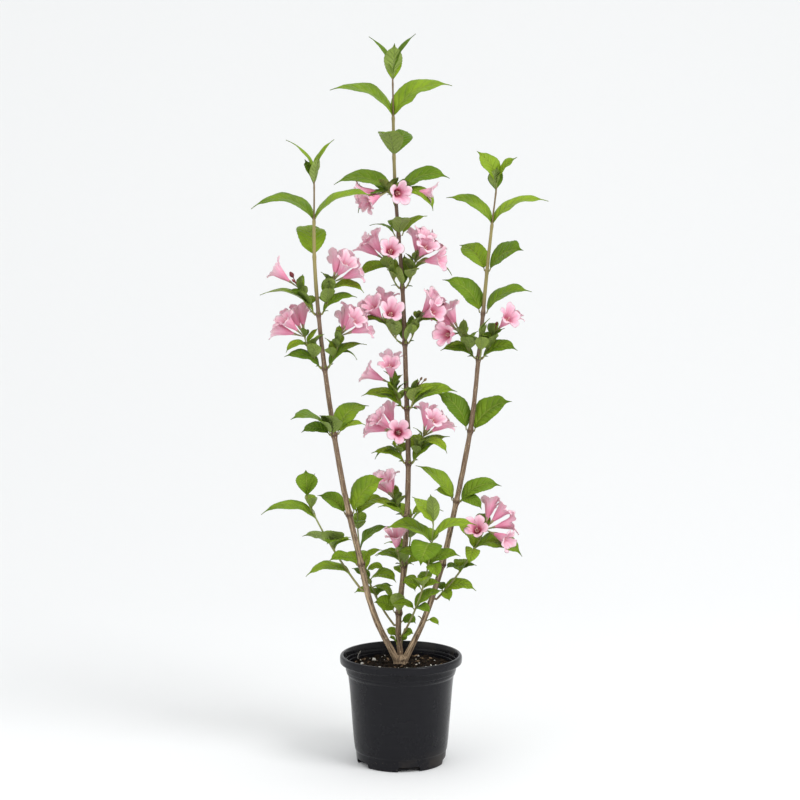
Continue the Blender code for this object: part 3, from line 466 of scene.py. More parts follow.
# and on the low shoots: mass, share of the shoot, pair, blade width
shootExtras = (
    ("shoot_left_outer", 0.82, (32, 58, 27, 9, 14), 0.46),
    ("shoot_left_outer", 0.44, (-20, 24, 20, 14, 20), 0.60),
    ("shoot_left_inner", 0.50, (160, 36, 25, 26, 8), 0.70),
    ("shoot_left_inner", 0.42, (-24, 42, 3, 28, 16), 0.64),
    ("shoot_left_inner", 0.36, (-38, 33, -14, 22, 10), 0.58),
    ("shoot_left_inner", 0.28, (-60, 22, -6, 20, 12), 0.80),
    ("shoot_front", 0.26, (-46, 27, 1, 24, 12), 0.76),
    ("shoot_front", 0.46, (-150, 30, 14, 30, 8), 0.66),
    ("shoot_front", 0.66, (-60, 30, -10, 26, 16), 0.70),
    ("shoot_right_outer", 0.12, (-66, 21, -8, 20, 10), 0.84),
    ("shoot_right_outer", 0.42, (-130, 26, 8, 24, 14), 0.72),
    ("shoot_back", 0.58, (-20, 36, 8, 36, 12), 0.58),
)

# where a blade stands otherwise than the rule says, in mm and degrees, and where a flower turns
leafTweaks = {
    ("shoot_left_outer", 0): {"roll": -8, "width": 0.46},
    ("shoot_left_outer", 1): {"roll": 34, "width": 0.62},
    ("shoot_left_outer", 4): {"width": 0.98, "turn": -84, "out": 24, "up": 28},
    ("shoot_left_outer", 5): {"roll": -16, "width": 0.33},
    ("shoot_left_outer", 8): {
        "turn": 100, "out": 12, "up": 38, "bend": 26, "roll": 6, "width": 1.0, "base": 1.3, "fold": 34},
    ("shoot_left_outer", 9): {"turn": 20, "out": 12, "up": 34, "bend": 30, "width": 0.46, "base": 1.2},
    ("foliage_left_2", 0): {"roll": 46, "width": 0.70},
    ("foliage_centre_1", 0): {"roll": -52, "width": 0.92},
    ("shoot_front", 0): {"roll": 20, "width": 0.66},
    ("shoot_front", 7): {"width": 0.52, "roll": 6},
    ("shoot_front", 8): {"roll": 0, "width": 1.0, "turn": -112, "out": 40, "up": -22},
    ("shoot_front", 10): {"width": 0.44},
    ("shoot_front", 11): {"roll": -10, "width": 1.0, "turn": 150, "out": 32, "up": 35},
    ("foliage_centre_tip", 2): {"roll": 4, "width": 0.62, "bend": 22, "base": 1.25, "fold": 36},
    ("foliage_centre_tip", 3): {"roll": 0, "width": 0.62, "bend": 22, "base": 1.25, "fold": 36},
    ("foliage_centre_tip", 4): {"roll": 44, "width": 0.50},
    ("foliage_centre_tip", 5): {"roll": -22, "width": 0.50},
    ("foliage_left_tip", 2): {
        "turn": -52, "out": 12, "up": 41, "roll": 4, "width": 0.64, "bend": 18, "base": 1.35, "fold": 38},
    ("foliage_left_tip", 3): {
        "turn": 140, "out": 17, "up": 38, "width": 0.60, "bend": 22, "base": 1.35, "fold": 36},
    ("foliage_right_tip", 0): {"width": 0.62, "base": 1.2},
    ("foliage_right_tip", 1): {"width": 0.62, "base": 1.2},
    ("foliage_right_tip", 2): {
        "turn": -84, "out": 10, "up": 36, "roll": 0, "width": 0.60, "bend": 16, "base": 1.35, "fold": 38},
    ("foliage_right_tip", 3): {
        "turn": 84, "out": 10, "up": 36, "roll": 0, "width": 0.74, "bend": 20, "base": 1.3},
    ("foliage_right_5", 1): {"roll": -48, "width": 0.64, "shade": -0.4},
    ("foliage_right_6", 0): {"roll": 52, "width": 0.74},
    ("foliage_right_3", 0): {"roll": 50, "width": 0.70},
    ("foliage_right_4", 0): {"roll": 30, "width": 0.56},
}
flowerTweaks = {
    ("shoot_right_outer", 0): (-100, 34),
    ("foliage_centre_9", 0): (-6, -8), ("foliage_centre_9", 1): (-66, -6),
    ("foliage_centre_9", 2): (184, -18), ("foliage_centre_9", 3): (214, -24),
}

fillLook = {
    # the pairs added on each side shoot: share of its length, least and most out, least and most up, width
    "sidePairs": ((0.30, (24, 32), (16, 30), 0.70), (0.62, (20, 28), (13, 26), 0.62),
                  (0.97, (15, 22), (12, 22), 0.48)),
    "sideTurns": (-90, -90, 90, -60, -120), "sideSway": 24, "otherLeaf": 0.8,
    "nodeAway": 0.0035, "nodeWidth": 0.62, "bend": 0.72,
    # low leaves that face front or back: slimmer, shorter, higher and more bent
    "facing": 0.8, "level": 0.7, "slimmer": 0.84, "shorter": 0.62, "higher": 0.48, "facingBend": 62,
    "sideRoll": 46, "boxMargin": 0.008, "clearance": 0.0014, "clearShares": (0.45, 0.7, 0.85, 1.0),
    "rootedShares": (0.6, 0.9), "rootedWithin": 4.0, "flowerReach": 0.026, "flowerWithin": 6.0,
}


def treeOf(node):
    mesh = frame["nodes"][node].data
    return BVHTree.FromPolygons([v.co for v in mesh.vertices], [tuple(f.vertices) for f in mesh.polygons])


def leafMeasures(leaf):
    return leaf["start"], leaf["turn"], leaf["out"], leaf["up"], leaf["bend"]


def fillShoots(twigs, chance):
    # three pairs along each side shoot, smaller towards its tip, and two where the first one starts
    look = fillLook
    extra = []
    for points, _ in twigs:
        for share, out, up, width in look["sidePairs"]:
            place = points[1 + int(share * (len(points) - 2))]
            turn = chance.choice(look["sideTurns"]) + chance.uniform(-look["sideSway"], look["sideSway"])
            pair = (turn, chance.uniform(*out), chance.uniform(*up),
                    look["otherLeaf"] * chance.uniform(*out), look["otherLeaf"] * chance.uniform(*up))
            extra += growPair(place, pair, -growth["rootDepth"], width, chance)
    if twigs:
        for turn in (chance.uniform(-30, 30), chance.uniform(60, 120)):
            pair = (turn, chance.uniform(8, 12), chance.uniform(-2, 6), chance.uniform(8, 12), 3)
            extra += growPair(twigs[0][0][0], pair, look["nodeAway"], look["nodeWidth"], chance)
    return extra


def raiseFacing(leaves):
    # a low leaf that faces front or back is slimmer and stands up more: up + 0.48 out, out x 0.62
    look = fillLook
    for leaf in leaves:
        facing = abs(heading(leaf["turn"])[1]) > look["facing"]
        if facing and leaf["up"] < look["level"] * leaf["out"]:
            leaf["width"] *= look["slimmer"]
            leaf["up"] += look["higher"] * leaf["out"]
            leaf["out"] *= look["shorter"]
            leaf["bend"] = look["facingBend"]


def addExtras(mass, twigs, chance):
    # the leaves of stemExtras and shootExtras that belong to this mass
    extra = []
    for name, stem, height, pair, width in stemExtras:
        if name == mass:
            start, along = stemPoints(stem, height * mm)[0], stemWay(stem, height * mm)
            grown = growPair(start, pair, stemRadius(stem, height * mm), width, chance, along)
            for leaf in grown:
                leaf["roll"] = fillLook["sideRoll"] * heading(leaf["turn"])[0]
            extra += grown
    for name, share, pair, width in shootExtras:
        if name == mass:
            points = twigs[0][0]
            place = points[1 + int(share * (len(points) - 2))]
            extra += growPair(place, pair, -growth["rootDepth"], width, chance)
    return extra


def applyTweaks(mass, leaves, flowers):
    for (name, number), changes in leafTweaks.items():
        if name == mass and number < len(leaves):
            for key, value in changes.items():
                leaves[number][key] = value * mm if key in ("out", "up") else value
    for (name, number), (turn, rise) in flowerTweaks.items():
        if name == mass and number < len(flowers):
            flowers[number]["turn"], flowers[number]["rise"] = turn, rise


def fillNodes(masses):
    # the leaves and flowers beside the solids' own; only the added leaves are tested for clearance
    for mass, (twigs, leaves, flowers) in masses.items():
        chance = random.Random(f"fill_{mass}")
        onNode = mass.startswith("foliage") and not mass.endswith("tip")
        extra = fillShoots(twigs, chance) if onNode else []
        for leaf in extra:
            leaf["bend"] *= fillLook["bend"]
        if mass.startswith("foliage") and twigs:
            raiseFacing(leaves)
        inBox = len(extra)
        extra += addExtras(mass, twigs, chance)
        applyTweaks(mass, leaves, flowers)
        faces = moreFlowers.get(mass, {})
        blooms = [growFlower(twigs[k][0][-1], face, chance) for k, row in faces.items() for face in row]
        masses[mass] = (twigs, leaves, flowers, keepClear(mass, extra, inBox), blooms)


def keepClear(mass, extra, inBox):
    # an added leaf is skipped where one of four places along its middle comes within 1.4 mm of another mass
    # or a stem, and one of the first inBox also where it would leave its own mass's box by 8 mm
    look = fillLook
    corners = np.array([v.co[:] for v in frame["nodes"][mass].data.vertices])
    low, high = corners.min(axis=0) - look["boxMargin"], corners.max(axis=0) + look["boxMargin"]
    skipped = (mass, "pot", "soil", "crown")
    others = [treeOf(node) for node in frame["nodes"] if node not in skipped]
    kept = []
    for number, leaf in enumerate(extra):
        places = arcPoints(*leafMeasures(leaf), look["clearShares"])[0]
        if number < inBox and ((places < low).any() or (places > high).any()):
            continue
        if all(tree.find_nearest(place)[3] > look["clearance"] for tree in others for place in places):
            kept.append(leaf)
    print(f"{mass}: {len(kept)} of {len(extra)} added leaves")
    return kept


def growPlant():
    # every node above tipFrom joins the tip's mass; the others are masses of their own, from the bottom up
    masses = {}
    for stem, charts in nodeCharts.items():
        tipFrom = stems[stem]["tipFrom"]
        chance = random.Random(f"{seed}_{stem}_tip")
        tipCharts = [chart for chart in charts if chart[0] > tipFrom]
        grown = [growNode(stem, chart, -growth["rootDepth"], chance) for chart in tipCharts]
        masses[f"foliage_{stem}_tip"] = [sum(parts, []) for parts in zip(*grown)]
        for k, chart in enumerate(reversed([chart for chart in charts if chart[0] <= tipFrom])):
            chance = random.Random(f"{seed}_{stem}_{chart[0]}")
            away = collarRadius(stem, chart[0] * mm, growth["collar"])
            masses[f"foliage_{stem}_{k + 1}"] = growNode(stem, chart, away, chance)
    for name, chart in shootCharts.items():
        masses[f"shoot_{name}"] = growShoot(chart, random.Random(f"{seed}_{name}"))
    return masses


def keepRooted(masses):
    # a leaf is kept where its places at 0.6 and 0.9 of its length lie within 4 mm of its solid, and a flower
    # where the place 26 mm along it lies within 6 mm
    look = fillLook
    for name, (twigs, leaves, flowers) in masses.items():
        tree = treeOf(name)
        keptLeaves, keptFlowers = [], []
        for leaf in leaves:
            places = arcPoints(*leafMeasures(leaf), look["rootedShares"])[0]
            if all(tree.find_nearest(place)[3] < look["rootedWithin"] * mm for place in places):
                keptLeaves.append(leaf)
        for flower in flowers:
            place = flower["start"] + look["flowerReach"] * heading(flower["turn"], flower["rise"])
            if tree.find_nearest(place)[3] < look["flowerWithin"] * mm:
                keptFlowers.append(flower)
        counts = f"{len(keptLeaves)} of {len(leaves)} leaves, {len(keptFlowers)} of {len(flowers)} flowers"
        print(f"{name}: {counts}")
        masses[name] = (twigs, keptLeaves, keptFlowers)


# Shared effects


def newGroup(name, inputs, outputs):
    group = bpy.data.node_groups.new(name, "ShaderNodeTree")
    for label, kind, value in inputs:
        socket = group.interface.new_socket(label, in_out="INPUT", socket_type=kind)
        if value is not None:
            socket.default_value = value
    for label, kind in outputs:
        group.interface.new_socket(label, in_out="OUTPUT", socket_type=kind)
    return group, group.nodes.new("NodeGroupInput"), group.nodes.new("NodeGroupOutput")


def mathNode(tree, operation, a, b=None, clamp=False):
    node = tree.nodes.new("ShaderNodeMath")
    node.operation, node.use_clamp = operation, clamp
    for socket, value in zip(node.inputs, (a, b)):
        if value is None:
            continue
        if isinstance(value, (int, float)):
            socket.default_value = value
        else:
            tree.links.new(value, socket)
    return node.outputs[0]


def times(tree, a, b, clamp=False):
    return mathNode(tree, "MULTIPLY", a, b, clamp)


def plus(tree, a, b, clamp=False):
    return mathNode(tree, "ADD", a, b, clamp)


def swing(tree, mask, amount):
    # the mask less a half, times the amount: it goes up and down round nothing
    return times(tree, mathNode(tree, "SUBTRACT", mask, 0.5), amount)


def rangeNode(tree, value, low, high, fromZero=0.0, toOne=1.0):
    # eases from one value to the other while the input goes from low to high
    node = tree.nodes.new("ShaderNodeMapRange")
    node.interpolation_type = "SMOOTHSTEP"
    tree.links.new(value, node.inputs["Value"])
    for label, number in (("From Min", low), ("From Max", high), ("To Min", fromZero), ("To Max", toOne)):
        node.inputs[label].default_value = number
    return node.outputs["Result"]


def noiseNode(tree, vector, scale, detail=3.0, roughness=0.55):
    node = tree.nodes.new("ShaderNodeTexNoise")
    tree.links.new(vector, node.inputs["Vector"])
    node.inputs["Scale"].default_value = scale
    node.inputs["Detail"].default_value = detail
    node.inputs["Roughness"].default_value = roughness
    return node.outputs["Fac"]


def mixColours(tree, factor, a, b, blend="MIX"):
    # the colour sockets of a mix node come after its number and vector sockets
    node = tree.nodes.new("ShaderNodeMix")
    node.data_type, node.blend_type = "RGBA", blend
    for socket, value in ((node.inputs[0], factor), (node.inputs[6], a), (node.inputs[7], b)):
        if isinstance(value, (int, float)):
            socket.default_value = value
        elif isinstance(value, tuple):
            socket.default_value = (*value, 1.0)
        else:
            tree.links.new(value, socket)
    return node.outputs[2]


def attributeNode(tree, name):
    node = tree.nodes.new("ShaderNodeAttribute")
    node.attribute_name = name
    return node.outputs["Fac"]


def vectorNode(tree, x, y, z):
    node = tree.nodes.new("ShaderNodeCombineXYZ")
    for socket, value in zip(node.inputs, (x, y, z)):
        if isinstance(value, (int, float)):
            socket.default_value = value
        else:
            tree.links.new(value, socket)
    return node.outputs[0]


def objectPlace(tree, stretch=(1.0, 1.0, 1.0)):
    place = tree.nodes.new("ShaderNodeTexCoord")
    node = tree.nodes.new("ShaderNodeVectorMath")
    node.operation = "MULTIPLY"
    tree.links.new(place.outputs["Object"], node.inputs[0])
    node.inputs[1].default_value = stretch
    return node.outputs[0]


def useGroup(tree, group, **links):
    node = tree.nodes.new("ShaderNodeGroup")
    node.node_tree = group
    for label, value in links.items():
        socket = node.inputs[label]
        if isinstance(value, (int, float)):
            socket.default_value = value
        else:
            tree.links.new(value, socket)
    return node.outputs


def bumpNode(tree, height, strength, distance, normal=None):
    node = tree.nodes.new("ShaderNodeBump")
    node.inputs["Strength"].default_value = strength
    node.inputs["Distance"].default_value = distance
    tree.links.new(height, node.inputs["Height"])
    if normal is not None:
        tree.links.new(normal, node.inputs["Normal"])
    return node.outputs["Normal"]


def newMaterial(name):
    material = bpy.data.materials.new(name)
    material.use_nodes = True
    return material, material.node_tree, material.node_tree.nodes["Principled BSDF"]


leafLook = {
    "deep": (0.108, 0.200, 0.009), "fresh": (0.268, 0.402, 0.020), "young": (0.375, 0.495, 0.030),
    "under": (0.290, 0.360, 0.110), "vein": (0.370, 0.460, 0.080), "stalk": (0.300, 0.290, 0.090),
    "roughness": 0.48, "rows": 36, "sides": 24, "stalkLength": 0.0045, "stalkRadius": 0.0008,
    "thickness": 0.00022, "ribs": 8.0, "slender": 0.90, "fold": 24.0, "base": 0.80,
    # hollow: a darker green painted as shade in the hollows along the leaf's veins
    "fleck": (0.048, 0.092, 0.006), "hollow": (0.056, 0.112, 0.008), "underVein": (0.34, 0.40, 0.17),
    "specular": 0.14, "smallLeaf": 0.03, "fewerRows": 14, "fewerSides": 8,
}


def makeVeins():
    # midrib where across is near 0; side veins where ribs x along - 1.5 |across|^0.8 is near a whole number
    inputs = (("Across", "NodeSocketFloat", 0.0), ("Along", "NodeSocketFloat", 0.0))
    outputs = (("Vein", "NodeSocketFloat"), ("Height", "NodeSocketFloat"))
    group, given, out = newGroup("leafVeins", inputs, outputs)
    away = mathNode(group, "ABSOLUTE", given.outputs["Across"])
    midrib = rangeNode(group, away, 0.02, 0.10, 1.0, 0.0)
    bent = times(group, mathNode(group, "POWER", away, 0.8), -1.5)
    beat = plus(group, times(group, given.outputs["Along"], leafLook["ribs"]), bent)
    toLine = mathNode(group, "PINGPONG", beat, 0.5)          # 0 on a vein, 0.5 half way between two
    fade = rangeNode(group, away, 0.45, 1.0, 1.0, 0.15)
    side = times(group, rangeNode(group, toLine, 0.02, 0.13, 1.0, 0.0), fade)
    vein = mathNode(group, "MAXIMUM", midrib, times(group, side, 0.60), clamp=True)
    puff = rangeNode(group, toLine, 0.0, 0.36, 0.0, 1.0)
    height = mathNode(group, "SUBTRACT", times(group, puff, fade), midrib)
    group.links.new(vein, out.inputs["Vein"])
    group.links.new(height, out.inputs["Height"])
    return group


def makeFlecks():
    # small seeded flecks: a fine noise cut off near its top
    inputs = (("Place", "NodeSocketVector", None), ("Scale", "NodeSocketFloat", 300.0),
              ("Share", "NodeSocketFloat", 0.62))
    group, given, out = newGroup("flecks", inputs, (("Mask", "NodeSocketFloat"),))
    node = group.nodes.new("ShaderNodeTexNoise")
    group.links.new(given.outputs["Place"], node.inputs["Vector"])
    group.links.new(given.outputs["Scale"], node.inputs["Scale"])
    node.inputs["Detail"].default_value = 2.0
    above = mathNode(group, "SUBTRACT", node.outputs["Fac"], given.outputs["Share"])
    group.links.new(times(group, above, 14.0, clamp=True), out.inputs["Mask"])
    return group


veins, flecks = makeVeins(), makeFlecks()

# Leaves


def makeLeafMaterial():
    look = leafLook
    material, tree, shader = newMaterial("weigelaLeaf")
    across, along, tone = (attributeNode(tree, name) for name in ("across", "along", "tone"))
    under = attributeNode(tree, "under")
    vein, height = useGroup(tree, veins, Across=across, Along=along)
    place = objectPlace(tree)
    cloud = noiseNode(tree, place, 42.0, 3.0)
    fine = noiseNode(tree, place, 900.0, 2.0)
    ageing = plus(tree, tone, swing(tree, cloud, 0.9))
    blade = mixColours(tree, rangeNode(tree, ageing, 0.0, 0.75), look["deep"], look["fresh"])
    blade = mixColours(tree, rangeNode(tree, ageing, 0.70, 1.25), blade, look["young"])
    blade = mixColours(tree, times(tree, fine, 0.24), blade, look["fleck"])
    # painted shade: the blade is darkened towards the hollow green where the vein height is low, along the
    # side veins and the midrib
    hollow = rangeNode(tree, height, -0.6, 0.7, 0.30, 0.0)
    blade = mixColours(tree, hollow, blade, look["hollow"])
    top = mixColours(tree, times(tree, vein, 0.34), blade, look["vein"])
    low = mixColours(tree, times(tree, vein, 0.50), look["under"], look["underVein"])
    low = mixColours(tree, times(tree, cloud, 0.75), low, blade)
    colour = mixColours(tree, rangeNode(tree, under, 0.3, 0.7), top, low)
    colour = mixColours(tree, rangeNode(tree, along, 0.0, 0.03, 1.0, 0.0), colour, look["stalk"])
    tree.links.new(colour, shader.inputs["Base Color"])
    tree.links.new(rangeNode(tree, cloud, 0.3, 0.7, look["roughness"] - 0.08, look["roughness"] + 0.10),
                   shader.inputs["Roughness"])
    shader.inputs["Specular IOR Level"].default_value = look["specular"]
    rough = bumpNode(tree, fine, 0.25, 0.0002)
    tree.links.new(bumpNode(tree, height, 0.85, 0.0009, rough), shader.inputs["Normal"])
    return material


def bladeOutline(share, base):
    # share^base (1 - share)^1.15 over its own greatest value, drawn in a little before the drip tip
    peak = base / (base + 1.15)
    top = peak**base * (1 - peak)**1.15
    drip = 1 - 0.58 * smoothStep(0.78, 0.90, share)
    return share**base * (1 - share)**1.15 / top * drip


def addLeaf(bundle, leaf, chance):
    # the section is an ellipse that flattens from a round stalk into a folded blade: across cos a, up sin a;
    # the blade then rises by |across| x sin fold, dips by 0.16 across^2, and waves along its rims
    look = leafLook
    measures = leafMeasures(leaf)
    length = arcPoints(*measures, (0,))[2]
    blade, stalk = length - look["stalkLength"], look["stalkLength"] / length
    small = blade < look["smallLeaf"]
    rows, sides = look["rows"] - look["fewerRows"] * small, look["sides"] - look["fewerSides"] * small
    t = (1 - np.cos(np.pi * np.linspace(0.03, 0.985, rows))) / 2
    shares = np.concatenate([np.linspace(0, 1, 4)[:-1] * stalk, stalk + (1 - stalk) * t])
    points, ways, _ = arcPoints(*measures, shares)
    points = np.concatenate([[leaf["inner"]], points])
    ways = np.concatenate([ways[:1], ways])
    t = np.concatenate([np.full(4, -1.0), t])
    inBlade = np.clip(t, 0, 1)
    side = heading(leaf["turn"] + 90)
    points = points + (chance.uniform(-0.07, 0.07) * blade * np.sin(np.pi * inBlade) ** 2)[:, None] * side
    roll = math.radians(leaf["roll"]) + math.radians(chance.uniform(-22, 22)) * inBlade
    normal = np.cross(ways, side)
    over = np.cos(roll)[:, None] * side + np.sin(roll)[:, None] * normal
    lift = np.cos(roll)[:, None] * normal - np.sin(roll)[:, None] * side
    outline = bladeOutline(inBlade, leaf.get("base", look["base"]))
    half = np.where(t < 0, look["stalkRadius"], look["slender"] * blade * leaf["width"] / 2 * outline)
    half = np.maximum(half, look["stalkRadius"] * (1 - inBlade))
    thick = np.where(t < 0, look["stalkRadius"], look["thickness"] + 0.0005 * np.exp(-inBlade / 0.08))
    a = np.linspace(0, 2 * np.pi, sides, endpoint=False)
    v, height = np.cos(a)[None, :], np.sin(a)[None, :]
    fold = math.radians(leaf.get("fold", look["fold"])) * (1 - 0.45 * inBlade)[:, None]
    depth, beats, begin = chance.uniform(0.02, 0.07), chance.uniform(1.6, 2.6), chance.random()
    wave = depth * np.sin(2 * np.pi * (beats * inBlade + begin))
    uneven = chance.uniform(0.01, 0.04) * np.sin(2 * np.pi * 2.7 * inBlade + 2)
    wave = wave[:, None] + uneven[:, None] * np.sign(v)
    isBlade = (t > 0)[:, None]
    tooth = 1 + 0.035 * isBlade * (np.arange(len(t)) % 2)[:, None] * np.abs(v) ** 6
    rise = isBlade * (np.sin(fold) * np.abs(v) - 0.16 * v**2 + wave * v**2)
    layer = np.float64(chance.random() * 40)
    spot = np.stack(np.broadcast_arrays(inBlade[:, None] * 6.5, v * 1.6, layer), axis=-1)
    rise = rise + isBlade * latticeNoise(spot, 1.0, 2) * (0.05 + 0.08 * v**2)
    ribs = np.cos(2 * np.pi * (look["ribs"] * inBlade[:, None] - 1.5 * np.abs(v) ** 0.8))
    quilt = 0.00042 * isBlade * ribs * (1 - v**2) * smoothStep(0.04, 0.3, np.abs(v))
    reach = half[:, None] * v * np.where(isBlade, np.cos(fold), 1.0) * tooth
    high = half[:, None] * rise - quilt * smoothStep(0.0, 0.2, inBlade)[:, None] + height * thick[:, None]
    rings = points[:, None, :] + reach[..., None] * over[:, None, :] + high[..., None] * lift[:, None, :]
    tone = chance.random() * 0.60 + leaf.get("young", 0.0)
    addRings(bundle, rings, {
        "across": v, "along": np.where(t < 0, -0.1, t)[:, None], "tone": tone, "under": (height < -0.1) * 1.0,
    })


# Flowers

flowerLook = {
    "tube": (0.765, 0.265, 0.405), "lobe": (0.840, 0.535, 0.635), "edge": (0.885, 0.705, 0.750),
    "throat": (0.640, 0.085, 0.160), "streak": (0.720, 0.240, 0.400), "roughness": 0.55,
    "length": 0.031, "pedicel": 0.012, "sides": 60, "thickness": 0.00022,
    "shape": ((0.00, 0.0014, 0.000), (0.14, 0.0019, 0.004), (0.28, 0.0036, 0.0090), (0.40, 0.0052, 0.0135),
              (0.54, 0.0066, 0.0192), (0.66, 0.0082, 0.0240), (0.78, 0.0110, 0.0280), (0.90, 0.0145, 0.0303),
              (1.00, 0.0168, 0.0304)),      # share of the way up the petal, radius, height
}


def makePetalMaterial():
    look = flowerLook
    material, tree, shader = newMaterial("weigelaPetal")
    along, inner, around, tone = (attributeNode(tree, name) for name in ("along", "inner", "around", "tone"))
    scaled = (times(tree, around, 34.0), times(tree, along, 1.6), times(tree, tone, 30.0))
    streakPlace = vectorNode(tree, *scaled)
    streaks = noiseNode(tree, streakPlace, 1.0, 3.0, 0.6)
    outside = mixColours(tree, rangeNode(tree, along, 0.30, 0.78), look["tube"], look["lobe"])
    inside = mixColours(tree, rangeNode(tree, along, 0.34, 0.66), look["throat"], look["lobe"])
    colour = mixColours(tree, rangeNode(tree, inner, 0.4, 0.6), outside, inside)
    rim = times(tree, rangeNode(tree, along, 0.72, 0.98), 0.85)
    colour = mixColours(tree, rim, colour, look["edge"])
    fading = rangeNode(tree, along, 0.55, 0.95, 0.62, 0.12)
    streak = times(tree, rangeNode(tree, streaks, 0.50, 0.72), fading)
    colour = mixColours(tree, streak, colour, look["streak"])
    toMiddle = mathNode(tree, "PINGPONG", times(tree, around, 5.0), 0.5)      # 0 along a lobe's middle
    middle = times(tree, rangeNode(tree, toMiddle, 0.02, 0.20, 0.62, 0.0),
                      rangeNode(tree, along, 0.50, 0.97, 1.0, 0.0))
    colour = mixColours(tree, middle, colour, look["streak"])
    colour = mixColours(tree, times(tree, tone, 0.30), colour, look["tube"])
    tree.links.new(colour, shader.inputs["Base Color"])
    tree.links.new(rangeNode(tree, streaks, 0.3, 0.7, look["roughness"] - 0.06, look["roughness"] + 0.08),
                   shader.inputs["Roughness"])
    shader.inputs["Specular IOR Level"].default_value = 0.25
    shader.inputs["Subsurface Weight"].default_value = 0.12
    shader.inputs["Subsurface Radius"].default_value = (0.004, 0.0015, 0.002)
    tree.links.new(bumpNode(tree, streaks, 0.35, 0.0004), shader.inputs["Normal"])
    return material


def flowerFrame(flower):
    axis = heading(flower["turn"], flower["rise"])
    side = heading(flower["turn"] + 90)
    return axis, side, np.cross(axis, side)


def addCorolla(petals, flower, chance):
    # radius and height follow the profile; past share 0.6 each lobe ends where its round outline says
    look = flowerLook
    axis, side, other = flowerFrame(flower)
    out = np.concatenate([np.linspace(0, 0.6, 9), np.linspace(0.6, 1, 8)[1:]])
    back = np.concatenate([np.linspace(1, 0.6, 7)[1:], np.linspace(0.6, 0.1, 7)[1:]])
    share = np.concatenate([out, back])[:, None]
    inner = np.concatenate([np.zeros(len(out)), np.ones(len(back))])[:, None]
    theta = np.linspace(0, 1, look["sides"], endpoint=False)[None, :]
    phi = (theta * 5 + 0.5) % 1 - 0.5                    # -0.5 and 0.5 at the notches, 0 in a lobe's middle
    lobe = np.floor(theta * 5 + 0.5).astype(int) % 5
    end = 0.04 + 0.96 * np.clip(1 - np.abs(2 * phi) ** 2.3, 0, 1) ** 0.58
    size = np.array([chance.uniform(0.82, 1.08) for _ in range(5)])[lobe]
    drop = np.array([chance.uniform(-0.0034, 0.0044) for _ in range(5)])[lobe]
    past = np.clip((share - 0.6) / 0.4, 0, 1)
    reach = np.where(share > 0.6, 0.6 + 0.4 * past * end * size, share)
    table = np.array(look["shape"])
    radius = np.interp(reach, table[:, 0], table[:, 1])
    height = np.interp(reach, table[:, 0], table[:, 2])
    past = past * end
    ripple = 0.0009 * past * np.sin(5 * np.pi * phi + 2 * lobe) - 0.0012 * past * (2 * phi) ** 2
    lap = 0.0022 * past * (2 * phi)                      # one edge of each lobe lies over the next lobe's
    height = height - drop * past**1.5 + ripple + lap
    radius = radius * (1 + 0.05 * np.cos(2 * np.pi * 5 * theta) * smoothStep(0.25, 0.6, reach))
    radius = radius - inner * look["thickness"]
    height = height + inner * look["thickness"] * smoothStep(0.5, 1.0, reach)
    fan = np.radians(72) * 0.30 * phi * past             # the lobes widen past their share of the ring
    angle = 2 * np.pi * theta + np.radians(flower["spin"]) + fan
    bend = chance.uniform(-0.0015, 0.0030) * (height / look["length"]) ** 2
    lean = unit(upward - upward.dot(axis) * axis + 1e-6 * side)
    ring = np.cos(angle)[..., None] * side + np.sin(angle)[..., None] * other
    base = flower["start"] + look["pedicel"] * axis
    points = base + height[..., None] * axis + radius[..., None] * ring + bend[..., None] * lean
    addRings(petals, points, {"along": np.where(share > 0.6, 0.6 + 0.4 * past, share), "inner": inner,
                              "around": theta, "tone": chance.random()})


def tubeRings(points, radii, sides, twist=0.0):
    # rings square to the line through the points
    points = np.asarray(points, float)
    ways = unit(np.gradient(points, axis=0))
    guide = np.array((0.31, 0.93, 0.12)) if abs(ways[0, 1]) < 0.8 else np.array((0.95, 0.1, 0.2))
    side = unit(np.cross(ways, guide))
    other = np.cross(ways, side)
    a = np.linspace(0, 2 * np.pi, sides, endpoint=False) + twist
    ring = np.cos(a)[None, :, None] * side[:, None, :] + np.sin(a)[None, :, None] * other[:, None, :]
    return points[:, None, :] + np.asarray(radii)[:, None, None] * ring


def addStalkAndCalyx(green, flower, chance):
    # a slender ovary like a second stalk, and five narrow sepals laid along the foot of the tube
    look = flowerLook
    axis, side, other = flowerFrame(flower)
    shares = np.linspace(-0.04, 1.0, 10)
    points = flower["start"] + (look["pedicel"] * shares)[:, None] * axis
    radii = np.interp(shares, (0, 0.25, 0.6, 0.9, 1.0), (0.0007, 0.0006, 0.0011, 0.0012, 0.0015))
    age = 0.35 + 0.3 * shares[:, None]
    addRings(green, tubeRings(points, radii, 8), {"age": age, "tone": chance.random()})
    for k in range(5):
        a = math.radians(flower["spin"] + 72 * k + 36)
        out = math.cos(a) * side + math.sin(a) * other
        t = np.linspace(0, 1, 6)
        line = flower["start"] + (look["pedicel"] - 0.0006 + 0.0085 * t)[:, None] * axis
        line = line + (0.0014 + 0.0012 * t**2 * chance.uniform(0.3, 1.6))[:, None] * out
        wide = 0.0008 * np.sin(np.pi * np.clip(t * 0.85 + 0.15, 0, 1)) + 0.00008
        b = np.linspace(0, 2 * np.pi, 6, endpoint=False)
        across = np.cross(axis, out)
        rings = (line[:, None, :] + (wide[:, None] * np.cos(b))[..., None] * across
                 + (0.3 * wide[:, None] * np.sin(b))[..., None] * out)
        addRings(green, rings, {"age": 0.10 + 0.25 * t[:, None], "tone": chance.random()})


